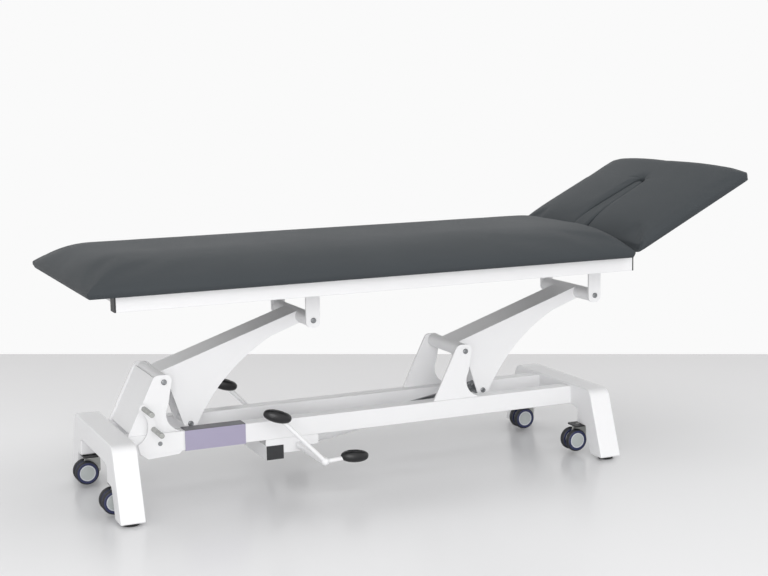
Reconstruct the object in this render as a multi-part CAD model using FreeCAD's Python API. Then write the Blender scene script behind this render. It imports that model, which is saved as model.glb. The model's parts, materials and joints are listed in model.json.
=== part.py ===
import FreeCAD, Part
import os
from math import cos, hypot, pi, radians, sin, sqrt, tan

# Two-section treatment couch on a parallelogram lift, millimetres.
# +X points to the head end, +Y to the side away from the pump pedals' owner, +Z up.
# Z = 0 is the floor under the four rubber feet. Shapes are drawn about the middle
# of the base, and every piece is moved along X when it is written, so that the
# origin lies on the floor under the middle of the whole couch.

V = FreeCAD.Vector

# Base: two arched end frames joined by two rails
base_length = 1450.0
end_frame_width = 64.0
end_frame_height = 194.0
end_frame_wall = 4.0
shoulder_width = 430.0
shoulder_radius = 30.0
leg_spread = 564.0
leg_width = 60.0
haunch_gap = 300.0
haunch_height = 87.0
crossbeam_depth = 60.0
crossbeam_chamfer = 12.0
frame_edge_radius = 4.0
foot_height = 8.0
foot_diameter = 42.0
rail_height = 52.0
rail_width = 43.0
rail_track = 224.0
rail_wall = 3.0
rail_drop = 6.5
sleeve_length = 166.0
sleeve_start = 219.0
sleeve_thickness = 1.6

# Lift: towers, arms and pivots
tower_foot_x = -555.5
tower_head_x = 319.9
pivot_height = 321.4
tower_track = 213.0
tower_plate = 6.0
tower_top_rise = 19.0
tower_top_half_width = 24.0
tower_top_corner = 16.0
tower_back_reach = 100.0
tower_front_reach = 38.0
tower_throat_radius = 48.0
tower_web_thickness = 5.0
arm_length = 426.4
arm_rest_angle = 18.15
arm_box_width = 103.0
arm_plate = 5.0
arm_horn_along = 38.7
arm_horn_drop = 150.5
arm_horn_radius = 18.0
arm_top_rise = 18.0
arm_tip_drop = 15.0
lower_tube_diameter = 38.0
upper_tube_diameter = 38.0
shaft_diameter = 20.0
running_clearance = 0.06
open_pivot_clearance = 0.5
side_clearance = 0.5
screw_head_diameter = 15.0
screw_head_height = 4.0
screw_shank_diameter = 8.0
screw_socket = 5.0
screw_depth = 14.0

# Top frame
hanger_track = 280.0
hanger_plate = 6.0
hanger_width = 40.0
top_rail_inset = 50.0
top_rail_width = 40.0
top_rail_height = 42.0
top_rail_wall = 2.5
top_rail_foot_x = -718.0
top_rail_head_x = 747.0
end_cap_flange = 4.0
end_cap_plug = 18.0
cross_member_width = 36.0
cross_member_gap = 4.0
main_pad_bottom = 586.3
main_pad_foot_x = -802.0
main_pad_length = 1540.0
pad_width = 700.0
main_pad_thickness = 66.0
main_pad_lip = 19.0
main_side_crown = 275.0
main_foot_crown = 120.0
main_head_round = 16.0
pad_corner_radius = 34.0
pad_trim = 3.0
board_thickness = 12.0
board_inset = 14.0

# Head section
head_pad_length = 422.0
head_pad_thickness = 66.0
head_pad_lip = 18.0
head_side_crown = 275.0
head_end_crown = 85.0
head_rest_tilt = 26.7
head_max_tilt = 35.0
head_hinge_x = 741.0
head_hinge_drop = 19.0
head_board_rise = 27.0
head_gap = 15.0
head_clearance = 1.0
head_tube_size = 30.0
head_tube_track = 436.0
hinge_disc_radius = 18.0
hinge_plate_thickness = 5.0
hinge_pin_diameter = 12.0
ratchet_teeth = 28
ratchet_tooth_depth = 2.4
slot_width = 78.0
slot_tip_width = 42.0
slot_length = 285.0
plug_clearance = 0.4
plug_sink = 4.0
plug_start = 49.0

# Hydraulic pump and pedals
pump_bar_x = -258.5
pump_bar_width = 48.0
pump_bar_height = 38.0
pump_bar_drop = 17.0
hanger_strip = 5.0
pump_shaft_x = -190.0
pump_shaft_drop = 22.5
pump_shaft_diameter = 16.0
pump_bracket_plate = 6.0
pump_body_length = 74.0
pump_body_width = 76.0
pump_body_sink = 30.0
pedal_track = 450.0
pedal_joint_x = -158.5
pedal_joint_drop = 24.0
pedal_lever_diameter = 20.0
pedal_rod_diameter = 12.0
pedal_ball_diameter = 22.0
pedal_up_angle = 133.6
pedal_up_length = 189.0
pedal_down_angle = 3.4
pedal_down_length = 84.6
pedal_pad_length = 84.0
pedal_pad_diameter = 44.0
pedal_pad_corner = 19.0
pedal_hollow_length = 54.0
pedal_hollow_width = 20.0
pedal_hollow_depth = 4.0
cylinder_pivot_x = -140.0
cylinder_pivot_drop = 10.0
cylinder_diameter = 50.0
cylinder_length = 260.0
cylinder_bore = 40.0
rod_diameter = 25.0
rod_eye_radius = 17.0
rod_eye_width = 28.0
rod_inside = 190.0
eye_pin_diameter = 16.0

# Wheel lift
caster_foot_x = -699.0
caster_head_x = 660.0
caster_track = 308.0
caster_trail = 14.0
wheel_diameter = 65.0
wheel_width = 18.0
wheel_gap = 12.0
wheel_clear_floor = 7.0
hub_diameter = 44.0
hub_sink = 1.5
hub_rim_width = 3.0
hub_rim_rise = 0.9
tread_groove = 1.6
tyre_shoulder = 4.5
fork_reach = 26.0
axle_diameter = 8.0
stem_diameter = 12.0
swivel_plate_diameter = 34.0
swivel_plate_thickness = 3.0
carrier_width = 44.0
carrier_thickness = 4.0
carrier_gap = 0.4
guide_post_diameter = 18.0
guide_post_length = 62.0
guide_post_inset = 16.0
guide_collar_wall = 5.0
guide_clearance = 0.06
lift_travel = 14.0
peg_plate_thickness = 5.0
peg_plate_gap = 3.0
peg_diameter = 14.0
peg_length = 80.0
peg_upper_x = -614.0
peg_upper_rise = 72.0
peg_lower_x = -590.5
peg_lower_rise = 15.5
peg_pivot_x = -575.0
peg_pivot_rise = 27.5
peg_lip_drop = 14.0
peg_lip_thickness = 2.0
peg_bolt_diameter = 12.0

# Levels and places that follow from the sizes above
half_length = base_length / 2
frame_inner = half_length - end_frame_width
rail_top = end_frame_height - rail_drop
rail_bottom = rail_top - rail_height
rail_outer = rail_track / 2
rail_inner = rail_outer - rail_width
crossbeam_under = end_frame_height - crossbeam_depth
tower_outer = tower_track / 2
tower_inner = tower_outer - tower_plate
arm_half = arm_box_width / 2
arm_angle = radians(arm_rest_angle)
upper_dx = arm_length * cos(arm_angle)
upper_dz = arm_length * sin(arm_angle)
upper_height = pivot_height + upper_dz
hanger_outer = hanger_track / 2
hanger_inner = hanger_outer - hanger_plate
top_rail_outer = pad_width / 2 - top_rail_inset
top_rail_inner = top_rail_outer - top_rail_width
top_rail_bottom = main_pad_bottom - top_rail_height
main_pad_head_x = main_pad_foot_x + main_pad_length
half_pad = pad_width / 2
head_hinge_height = main_pad_bottom - head_hinge_drop
head_pad_start = main_pad_head_x + head_gap - head_hinge_x
head_tilt = radians(head_rest_tilt)
head_pad_end = head_pad_start + head_pad_length
head_tip_x = head_hinge_x + head_pad_end * cos(head_tilt) - head_board_rise * sin(head_tilt)
shift_x = -(main_pad_foot_x + head_tip_x) / 2
head_tube_outer = head_tube_track / 2 + head_tube_size / 2
pump_shaft_height = rail_bottom - pump_shaft_drop
pedal_joint_height = pump_shaft_height - pedal_joint_drop
cylinder_pivot_height = pump_shaft_height - cylinder_pivot_drop
peg_upper_height = rail_top + peg_upper_rise
peg_lower_height = rail_top + peg_lower_rise
peg_pivot_height = rail_bottom + peg_pivot_rise
wheel_radius = wheel_diameter / 2
wheel_height = wheel_radius + wheel_clear_floor
pump_bar_top = rail_bottom - pump_bar_drop
pedal_plane = pedal_track / 2
caster_axis_y = caster_track / 2
guide_post_x = half_length - end_frame_width / 2
guide_post_y = caster_axis_y + guide_post_inset
collar_top = haunch_height + guide_post_length + 4


def box(x0, x1, y0, y1, z0, z1):
    return Part.makeBox(x1 - x0, y1 - y0, z1 - z0, V(x0, y0, z0))


def rod_y(x, z, diameter, y0, y1):
    return Part.makeCylinder(diameter / 2, y1 - y0, V(x, y0, z), V(0, 1, 0))


def rod_z(x, y, diameter, z0, z1):
    return Part.makeCylinder(diameter / 2, z1 - z0, V(x, y, z0), V(0, 0, 1))


def rod_between(a, b, diameter):
    line = b.sub(a)
    return Part.makeCylinder(diameter / 2, line.Length, a, line)


def rounded_wire(corners):
    """Closed outline through corners (point, radius) with tangent arcs."""
    count = len(corners)
    edges = []
    starts = []
    ends = []
    middles = []
    for i in range(count):
        point, radius = corners[i]
        before = corners[i - 1][0].sub(point)
        after = corners[(i + 1) % count][0].sub(point)
        before.normalize()
        after.normalize()
        if radius <= 0:
            starts.append(point)
            ends.append(point)
            middles.append(None)
            continue
        half = before.getAngle(after) / 2
        setback = radius / tan(half)
        bisector = before.add(after)
        bisector.normalize()
        centre = point.add(bisector * (radius / sin(half)))
        starts.append(point.add(before * setback))
        ends.append(point.add(after * setback))
        middles.append(centre.sub(bisector * radius))
    for i in range(count):
        if middles[i] is not None:
            edges.append(Part.Arc(starts[i], middles[i], ends[i]).toShape())
        following = starts[(i + 1) % count]
        if ends[i].sub(following).Length > 1e-6:
            edges.append(Part.LineSegment(ends[i], following).toShape())
    return Part.Wire(edges)


def plate_xz(outline, y0, y1):
    """Flat plate: outline of (x, z, radius) extruded along Y."""
    wire = rounded_wire([(V(x, y0, z), r) for x, z, r in outline])
    return Part.Face(wire).extrude(V(0, y1 - y0, 0))


def plate_xy(outline, z0, z1):
    wire = rounded_wire([(V(x, y, z0), r) for x, y, r in outline])
    return Part.Face(wire).extrude(V(0, 0, z1 - z0))


def mirrored_x(shape):
    return shape.mirror(V(0, 0, 0), V(1, 0, 0))


def box_tube(x0, x1, y0, y1, z0, z1, wall, axis):
    """Rectangular tube, open at both ends along the named axis."""
    outer = box(x0, x1, y0, y1, z0, z1)
    if axis == "x":
        return outer.cut(box(x0, x1, y0 + wall, y1 - wall, z0 + wall, z1 - wall))
    return outer.cut(box(x0 + wall, x1 - wall, y0, y1, z0 + wall, z1 - wall))


def arm_point(u, v, pivot_x):
    """Point u along and v above the line between an arm's two pivots."""
    x = pivot_x + u * cos(arm_angle) - v * sin(arm_angle)
    z = pivot_height + u * sin(arm_angle) + v * cos(arm_angle)
    return V(x, 0, z)


def tilted_head(shape):
    """Head section drawn flat about its hinge, turned to its rest tilt."""
    turned = shape.copy()
    turned.rotate(V(0, 0, 0), V(0, -1, 0), head_rest_tilt)
    turned.translate(V(head_hinge_x, 0, head_hinge_height))
    return turned


# End frames

def leg_side(z):
    """Half width of the leg's outer face at height z."""
    slope = (leg_spread - shoulder_width) / 2 / (end_frame_height - foot_height)
    return leg_spread / 2 - slope * (z - foot_height)


def end_frame_outline(inset):
    haunch = haunch_gap / 2
    corners = [
        (-leg_side(end_frame_height), end_frame_height, shoulder_radius),
        (leg_side(end_frame_height), end_frame_height, shoulder_radius),
        (leg_side(foot_height), foot_height, frame_edge_radius),
        (leg_side(foot_height) - leg_width, foot_height, frame_edge_radius),
        (leg_side(haunch_height - 2) - leg_width, haunch_height - 2, frame_edge_radius),
        (haunch, haunch_height, frame_edge_radius),
        (haunch, crossbeam_under - crossbeam_chamfer / 2, frame_edge_radius),
        (haunch - crossbeam_chamfer * 2, crossbeam_under, frame_edge_radius),
        (-haunch + crossbeam_chamfer * 2, crossbeam_under, frame_edge_radius),
        (-haunch, crossbeam_under - crossbeam_chamfer / 2, frame_edge_radius),
        (-haunch, haunch_height, frame_edge_radius),
        (-leg_side(haunch_height - 2) + leg_width, haunch_height - 2, frame_edge_radius),
        (-leg_side(foot_height) + leg_width, foot_height, frame_edge_radius),
        (-leg_side(foot_height), foot_height, frame_edge_radius),
    ]
    wire = rounded_wire([(V(frame_inner, y, z), r) for y, z, r in corners])
    if inset:
        return wire.makeOffset2D(-inset)
    return wire


def between_the_legs():
    """Space between the two legs' inner faces, which the crossbeam and haunches fill."""
    low = leg_side(0) - leg_width
    high = leg_side(end_frame_height + 1) - leg_width
    points = [V(frame_inner - 1, -low, 0), V(frame_inner - 1, low, 0),
              V(frame_inner - 1, high, end_frame_height + 1),
              V(frame_inner - 1, -high, end_frame_height + 1)]
    face = Part.Face(Part.makePolygon(points + [points[0]]))
    return face.extrude(V(end_frame_width + 2, 0, 0))


def end_frame():
    """The hollow crossbeam with its haunches and guide collars, and the two legs."""
    shell = Part.Face(end_frame_outline(0)).extrude(V(end_frame_width, 0, 0))
    rim = [e for e in shell.Edges if abs(e.BoundBox.XLength) < 0.001]
    shell = shell.makeFillet(frame_edge_radius * 0.75, rim)
    hollow = Part.Face(end_frame_outline(end_frame_wall))
    hollow = hollow.extrude(V(end_frame_width - 2 * end_frame_wall, 0, 0))
    hollow.translate(V(end_frame_wall, 0, 0))
    tube = shell.cut(hollow)
    legs = tube.cut(between_the_legs()).Solids
    crossbeam = tube.common(between_the_legs())
    for side in (-1, 1):
        y = side * guide_post_y
        bore_diameter = guide_post_diameter + 2 * guide_clearance
        collar = rod_z(guide_post_x, y, bore_diameter + 2 * guide_collar_wall,
                       haunch_height - end_frame_wall, collar_top)
        bore = rod_z(guide_post_x, y, bore_diameter, haunch_height - 10, collar_top)
        crossbeam = crossbeam.fuse(collar.common(shell)).cut(bore)
    return crossbeam.removeSplitter(), legs


def rubber_feet():
    feet = []
    for end in (-1, 1):
        for side in (-1, 1):
            x = end * (half_length - end_frame_width / 2)
            y = side * (leg_spread / 2 - leg_width / 2)
            foot = rod_z(x, y, foot_diameter, 0, foot_height)
            feet.append(foot.makeFillet(2, [foot.Edges[2]]))
    return feet


# Rails and what hangs on them

def base_rail(side):
    y0, y1 = sorted((side * rail_inner, side * rail_outer))
    tube = box(-frame_inner, frame_inner, y0, y1, rail_bottom, rail_top)
    long_edges = [e for e in tube.Edges if e.BoundBox.XLength > base_length / 2]
    tube = tube.makeFillet(rail_wall * 0.9, long_edges)
    core = box(-frame_inner, frame_inner, y0 + rail_wall, y1 - rail_wall,
               rail_bottom + rail_wall, rail_top - rail_wall)
    return tube.cut(core)


def rail_sleeve():
    """Thin cover clipped over the near rail: front, top and a lip below."""
    x0 = -half_length + sleeve_start
    x1 = x0 + sleeve_length
    t = sleeve_thickness
    outer = box(x0, x1, -rail_outer - t, -rail_outer + 14, rail_bottom - t, rail_top)
    front = outer.cut(box(x0, x1, -rail_outer, 0, rail_bottom, rail_top + t))
    top = box(x0, x1, -rail_outer - t, -rail_inner - 2, rail_top, rail_top + t)
    return front.fuse(top).removeSplitter()


# Towers

def tower_plate_outline(pivot_x):
    top = pivot_height + tower_top_rise
    half = tower_top_half_width
    back = pivot_x - tower_back_reach
    front = pivot_x + tower_front_reach
    return [
        (pivot_x - half, top, tower_top_corner),
        (pivot_x + half, top, tower_top_corner),
        (pivot_x + half * 0.38, pivot_height - 62, 12),
        (front, rail_top, 0),
        (back, rail_top, 0),
    ]


def tower_plates(pivot_x):
    throat_x = pivot_x + 50.5
    throat_z = rail_top + tower_throat_radius
    plates = []
    for side in (-1, 1):
        y0, y1 = sorted((side * tower_inner, side * tower_outer))
        plate = plate_xz(tower_plate_outline(pivot_x), y0, y1)
        plate = plate.cut(rod_y(throat_x, throat_z, 2 * tower_throat_radius, y0, y1))
        plate = plate.cut(rod_y(pivot_x, pivot_height, screw_shank_diameter, y0, y1))
        plates.append(plate.Solids[0] if len(plate.Solids) == 1 else largest(plate))
    return plates


def largest(shape):
    return max(shape.Solids, key=lambda s: s.Volume)


def tower_web():
    """Sloping plate that closes the foot side of the foot tower."""
    t = tower_web_thickness
    high = (tower_foot_x - tower_top_half_width + 1.5, pivot_height + tower_top_rise * 0.55)
    low = (tower_foot_x - tower_back_reach + 8, rail_top + 3)
    length = hypot(high[0] - low[0], high[1] - low[1])
    ux = (high[0] - low[0]) / length
    uz = (high[1] - low[1]) / length
    outline = [
        (low[0], low[1], 0),
        (high[0], high[1], 0),
        (high[0] + t * uz, high[1] - t * ux, 0),
        (low[0] + t * uz, low[1] - t * ux, 0),
    ]
    return plate_xz(outline, -tower_inner, tower_inner)


def button_screw(x, z, face_y, outward, depth):
    """Round-headed screw with a hexagon socket, its head outside face_y."""
    head = Part.makeCylinder(screw_head_diameter / 2, screw_head_height)
    head = head.makeFillet(screw_head_height * 0.55, [e for e in head.Edges
                           if e.BoundBox.ZMin > screw_head_height - 0.01])
    socket = Part.Face(Part.makePolygon(
        [V(screw_socket * cos(i * pi / 3), screw_socket * sin(i * pi / 3), screw_head_height)
         for i in range(7)])).extrude(V(0, 0, -screw_head_height * 0.6))
    shank = Part.makeCylinder(screw_shank_diameter / 2, depth, V(0, 0, -depth))
    screw = head.fuse(shank).cut(socket).removeSplitter()
    screw.rotate(V(0, 0, 0), V(1, 0, 0), -90 if outward > 0 else 90)
    screw.translate(V(x, face_y, z))
    return screw


def pivot_screws(x_list, z, half_track):
    screws = []
    for x in x_list:
        for side in (-1, 1):
            screws.append(button_screw(x, z, side * half_track, side, screw_depth))
    return screws


def pivot_shaft(x, z, half_span):
    shaft = rod_y(x, z, shaft_diameter, -half_span, half_span)
    for side in (-1, 1):
        depth = screw_depth - (tower_plate if half_span < tower_outer else hanger_plate)
        y0, y1 = sorted((side * half_span, side * (half_span - depth)))
        shaft = shaft.cut(rod_y(x, z, screw_shank_diameter, y0, y1))
    return shaft


# Lift arms

def arm_outline(pivot_x):
    """Boomerang side plate: straight top, horn below the pivot, curved underside."""
    def at(u, v):
        return arm_point(u, v, pivot_x)

    horn = at(arm_horn_along, -arm_horn_drop)
    r = arm_horn_radius
    back_top = at(arm_horn_along - r, -lower_tube_diameter * 0.45)
    back_low = at(arm_horn_along - r, -arm_horn_drop)
    horn_low = at(arm_horn_along + r * 0.26, -arm_horn_drop - r * 0.966)
    horn_front = at(arm_horn_along + r * 0.82, -arm_horn_drop - r * 0.57)
    belly = at(arm_length * 0.40, -arm_horn_drop * 0.48)
    waist = at(arm_length * 0.77, -arm_tip_drop - 3)
    tip_low = at(arm_length, -arm_tip_drop)
    tip_high = at(arm_length, arm_top_rise)
    top_back = at(0, arm_top_rise - 3)
    nose_low = at(-lower_tube_diameter * 0.32, -lower_tube_diameter * 0.36)
    edges = [
        Part.LineSegment(top_back, tip_high).toShape(),
        Part.Arc(tip_high, at(arm_length + 17, 1.5), tip_low).toShape(),
        Part.LineSegment(tip_low, waist).toShape(),
        Part.Arc(waist, belly, horn_front).toShape(),
        Part.Arc(horn_front, horn_low, back_low).toShape(),
        Part.LineSegment(back_low, back_top).toShape(),
        Part.LineSegment(back_top, nose_low).toShape(),
        Part.Arc(nose_low, at(-lower_tube_diameter * 0.47, 1), top_back).toShape(),
    ]
    return Part.Wire(edges), horn


def lift_arm(pivot_x, upper_clearance):
    wire, horn = arm_outline(pivot_x)
    face = Part.Face(wire)
    arm = None
    for side in (-1, 1):
        plate = face.extrude(V(0, arm_plate, 0))
        plate.translate(V(0, arm_half - arm_plate if side > 0 else -arm_half, 0))
        plate = plate.cut(rod_y(horn.x, horn.z, screw_shank_diameter, -arm_half, arm_half))
        arm = plate if arm is None else arm.fuse(plate)
    sheet = Part.Wire([
        Part.LineSegment(arm_point(0, arm_top_rise - 3, pivot_x),
                         arm_point(arm_length, arm_top_rise, pivot_x)).toShape(),
        Part.LineSegment(arm_point(arm_length, arm_top_rise, pivot_x),
                         arm_point(arm_length, arm_top_rise - arm_plate, pivot_x)).toShape(),
        Part.LineSegment(arm_point(arm_length, arm_top_rise - arm_plate, pivot_x),
                         arm_point(0, arm_top_rise - 3 - arm_plate, pivot_x)).toShape(),
        Part.LineSegment(arm_point(0, arm_top_rise - 3 - arm_plate, pivot_x),
                         arm_point(0, arm_top_rise - 3, pivot_x)).toShape(),
    ])
    sheet = Part.Face(sheet).extrude(V(0, arm_box_width, 0))
    sheet.translate(V(0, -arm_half, 0))
    tip = arm_point(arm_length, 0, pivot_x)
    lower_span = tower_inner - side_clearance
    upper_span = hanger_inner - side_clearance
    arm = arm.fuse(sheet)
    arm = arm.fuse(rod_y(pivot_x, pivot_height, lower_tube_diameter, -lower_span, lower_span))
    arm = arm.fuse(rod_y(tip.x, tip.z, upper_tube_diameter, -upper_span, upper_span))
    lower_bore = shaft_diameter + 2 * running_clearance
    upper_bore = shaft_diameter + 2 * upper_clearance
    arm = arm.cut(rod_y(pivot_x, pivot_height, lower_bore, -lower_span, lower_span))
    arm = arm.cut(rod_y(tip.x, tip.z, upper_bore, -upper_span, upper_span))
    return arm.removeSplitter()


def horn_screws(pivot_x):
    horn = arm_point(arm_horn_along, -arm_horn_drop, pivot_x)
    return [button_screw(horn.x, horn.z, side * arm_half, side, arm_plate + 3)
            for side in (-1, 1)]


def horn_spacer(pivot_x):
    """Tube between the foot arm's side plates, held by the two horn screws."""
    horn = arm_point(arm_horn_along, -arm_horn_drop, pivot_x)
    half = arm_half - arm_plate
    spacer = rod_y(horn.x, horn.z, arm_horn_radius * 1.3, -half, half)
    for side in (-1, 1):
        y0, y1 = sorted((side * half, side * (half - 3)))
        spacer = spacer.cut(rod_y(horn.x, horn.z, screw_shank_diameter, y0, y1))
    return spacer


# Top frame

def hanger_plates(pivot_x):
    x = pivot_x + upper_dx
    r = hanger_width / 2
    plates = []
    for side in (-1, 1):
        y0, y1 = sorted((side * hanger_inner, side * hanger_outer))
        outline = [
            (x - r, top_rail_bottom, 0),
            (x + r, top_rail_bottom, 0),
            (x + r, upper_height - r, r * 0.8),
            (x - r, upper_height - r, r * 0.8),
        ]
        plate = plate_xz(outline, y0, y1)
        plates.append(plate.cut(rod_y(x, upper_height, screw_shank_diameter, y0, y1)))
    return plates


def top_rail(side):
    y0, y1 = sorted((side * top_rail_inner, side * top_rail_outer))
    x0 = top_rail_foot_x
    x1 = top_rail_head_x
    tube = box(x0, x1, y0, y1, top_rail_bottom, main_pad_bottom)
    long_edges = [e for e in tube.Edges if e.BoundBox.XLength > main_pad_length / 2]
    tube = tube.makeFillet(top_rail_wall * 0.9, long_edges)
    w = top_rail_wall
    return tube.cut(box(x0, x1, y0 + w, y1 - w, top_rail_bottom + w, main_pad_bottom - w))


def rail_end_caps():
    caps = []
    w = top_rail_wall
    for end, x in ((-1, top_rail_foot_x), (1, top_rail_head_x)):
        for side in (-1, 1):
            y0, y1 = sorted((side * top_rail_inner, side * top_rail_outer))
            xa, xb = sorted((x, x + end * end_cap_flange))
            flange = box(xa, xb, y0, y1, top_rail_bottom, main_pad_bottom)
            xa, xb = sorted((x, x - end * end_cap_plug))
            plug = box(xa, xb, y0 + w, y1 - w, top_rail_bottom + w, main_pad_bottom - w)
            hollow = box(xa, xb, y0 + 2 * w, y1 - 2 * w,
                         top_rail_bottom + 2 * w, main_pad_bottom - 2 * w)
            caps.append(flange.fuse(plug.cut(hollow)).removeSplitter())
    return caps


def cross_member(x):
    half = cross_member_width / 2
    return box_tube(x - half, x + half, -top_rail_inner, top_rail_inner,
                    top_rail_bottom, main_pad_bottom, top_rail_wall, "y")


# Pads and boards

def crown_shoulder(edge, lip, crown, thickness, inward):
    """Middle point of the arc that rises from a pad's lip to its flat top."""
    rise = thickness - lip
    radius = (crown * crown + rise * rise) / (2 * rise)
    middle = crown / 2
    drop = radius - sqrt(radius * radius - middle * middle)
    return (edge + inward * (crown - middle), thickness - drop)


def crown_wire(low, high, low_end, high_end, thickness, place):
    """Pad outline; low_end and high_end are (lip height, crown length)."""
    lip_a, crown_a = low_end
    lip_b, crown_b = high_end
    corner_low = place(low, 0)
    lip_low = place(low, lip_a)
    shoulder_low = place(*crown_shoulder(low, lip_a, crown_a, thickness, 1))
    top_low = place(low + crown_a, thickness)
    top_high = place(high - crown_b, thickness)
    shoulder_high = place(*crown_shoulder(high, lip_b, crown_b, thickness, -1))
    lip_high = place(high, lip_b)
    corner_high = place(high, 0)
    return Part.Wire([
        Part.LineSegment(corner_low, lip_low).toShape(),
        Part.Arc(lip_low, shoulder_low, top_low).toShape(),
        Part.LineSegment(top_low, top_high).toShape(),
        Part.Arc(top_high, shoulder_high, lip_high).toShape(),
        Part.LineSegment(lip_high, corner_high).toShape(),
        Part.LineSegment(corner_high, corner_low).toShape(),
    ])


def crowned_pad(x0, x1, z0, thickness, side_end, low_end, high_end):
    """Upholstered form: a lengthwise and a crosswise outline in common, trimmed to its plan."""
    over = pad_trim
    wire = crown_wire(x0 - over, x1 + over, low_end, high_end, thickness,
                      lambda u, v: V(u, -half_pad - over, z0 + v))
    pad = Part.Face(wire).extrude(V(0, pad_width + 2 * over, 0))
    wire = crown_wire(-half_pad - over, half_pad + over, side_end, side_end,
                      thickness + over / 2, lambda u, v: V(x0 - over, u, z0 + v))
    pad = pad.common(Part.Face(wire).extrude(V(x1 - x0 + 2 * over, 0, 0)))
    r = pad_corner_radius
    plan = [(x0, -half_pad, r), (x1, -half_pad, r), (x1, half_pad, r), (x0, half_pad, r)]
    return pad.common(plate_xy(plan, z0 - over, z0 + thickness + over))


def board(x0, x1, z0, corner):
    i = board_inset
    plan = [(x0 + i, -half_pad + i, corner), (x1 - i, -half_pad + i, corner),
            (x1 - i, half_pad - i, corner), (x0 + i, half_pad - i, corner)]
    return plate_xy(plan, z0, z0 + board_thickness)


def main_board():
    return board(main_pad_foot_x, main_pad_head_x, main_pad_bottom, pad_corner_radius / 2)


def main_pad():
    t = main_pad_thickness
    pad = crowned_pad(main_pad_foot_x, main_pad_head_x, main_pad_bottom, t,
                      (main_pad_lip, main_side_crown), (main_pad_lip, main_foot_crown),
                      (t - main_head_round, main_head_round))
    return pad.cut(main_board())


def slot_outline(grow):
    half = slot_width / 2 + grow
    tip = slot_tip_width / 2 + grow
    end = head_pad_start + slot_length + grow
    start = head_pad_start - 60
    return [
        (start, -half, 0),
        (end, -tip, tip * 0.86),
        (end, tip, tip * 0.86),
        (start, half, 0),
    ]


def head_cut_back(shape, inset):
    """Hinge face cut so that it stands upright, clear of the main pad, at the top tilt."""
    lean = radians(head_max_tilt)
    offset = main_pad_head_x + head_clearance - head_hinge_x + inset
    low = head_board_rise - 1
    high = head_board_rise + head_pad_thickness + 1
    u_low = (offset + low * sin(lean)) / cos(lean)
    u_high = (offset + high * sin(lean)) / cos(lean)
    u_back = u_low - head_pad_length / 2
    wedge = plate_xz([(u_back, low, 0), (u_low, low, 0), (u_high, high, 0),
                      (u_back, high, 0)], -half_pad - 1, half_pad + 1)
    return shape.cut(wedge)


def head_board_flat():
    full = board(head_pad_start, head_pad_end, head_board_rise, pad_corner_radius / 2)
    slot = plate_xy(slot_outline(0), head_board_rise, head_board_rise + board_thickness)
    return head_cut_back(full.cut(slot), board_inset)


def head_pad_flat():
    t = head_pad_thickness
    pad = crowned_pad(head_pad_start, head_pad_end, head_board_rise, t,
                      (head_pad_lip, head_side_crown), (t - main_head_round, main_head_round),
                      (head_pad_lip, head_end_crown))
    pad = head_cut_back(pad, 0)
    pad = pad.cut(plate_xy(slot_outline(0), head_board_rise, head_board_rise + t))
    return pad.cut(head_board_flat())


def face_plug_flat():
    top = head_board_rise + head_pad_thickness - plug_sink
    plug = plate_xy(slot_outline(-plug_clearance), head_board_rise + 1, top)
    plug = plug.makeFillet(4, [e for e in plug.Edges if e.BoundBox.ZMin > top - 0.01
                               and e.BoundBox.XMax > head_pad_start])
    plug = head_cut_back(plug, 0)
    low = box(head_pad_start - 100, plug_start, -half_pad, half_pad, 0, top + 1)
    return plug.cut(low)


# Head hinge

def ratchet_disc(side):
    """Toothed plate fixed inside the top rail's end."""
    y0, y1 = sorted((side * top_rail_inner, side * (top_rail_inner - hinge_plate_thickness)))
    disc = Part.makeCylinder(hinge_disc_radius, y1 - y0, V(0, y0, 0), V(0, 1, 0))
    step = 2 * pi / ratchet_teeth
    inner = hinge_disc_radius - ratchet_tooth_depth
    cutters = []
    for i in range(ratchet_teeth):
        a = i * step
        notch = Part.makePolygon([
            V(hinge_disc_radius * 1.1 * cos(a), y0, hinge_disc_radius * 1.1 * sin(a)),
            V(inner * cos(a), y0, inner * sin(a)),
            V(hinge_disc_radius * 1.02 * cos(a + step), y0, hinge_disc_radius * 1.02 * sin(a + step)),
            V(hinge_disc_radius * 1.1 * cos(a), y0, hinge_disc_radius * 1.1 * sin(a)),
        ])
        cutters.append(Part.Face(notch).extrude(V(0, y1 - y0, 0)))
    disc = disc.cut(Part.makeCompound(cutters))
    disc.translate(V(head_hinge_x, 0, head_hinge_height))
    pin_end = side * (head_tube_outer - hinge_plate_thickness)
    ya, yb = sorted((side * top_rail_inner, pin_end))
    pin = rod_y(head_hinge_x, head_hinge_height, hinge_pin_diameter, ya, yb)
    return largest(disc).fuse(pin).removeSplitter()


def head_frame_flat():
    """Side tubes with hinge ears and a cross tube, under the head board."""
    half = head_tube_size / 2
    frame = None
    start = hinge_disc_radius + 6
    end = head_pad_end - 40
    top = head_board_rise
    low = top - head_tube_size
    for side in (-1, 1):
        yc = side * head_tube_track / 2
        tube = box_tube(start, end, yc - half, yc + half, low, top, top_rail_wall, "x")
        ear_y = side * head_tube_outer
        y0, y1 = sorted((ear_y, ear_y - side * hinge_plate_thickness))
        ear = plate_xz([(-14, -14, 12), (start + 40, low, 2), (start + 40, top, 2),
                        (start, top, 2), (start - 18, 13, 6), (-14, 12, 10)], y0, y1)
        tube = tube.cut(box(start - 1, start + 40, y0, y1, low, top))
        tube = tube.fuse(ear)
        pin_bore = hinge_pin_diameter + 2 * running_clearance
        tube = tube.cut(rod_y(0, 0, pin_bore, y0, y1))
        frame = tube if frame is None else frame.fuse(tube)
    inner = head_tube_track / 2 - half
    cross = box_tube(end - head_tube_size, end, -inner, inner, low, top, top_rail_wall, "y")
    return frame.fuse(cross).removeSplitter()


# Hydraulic pump, cylinder and pedals

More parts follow.
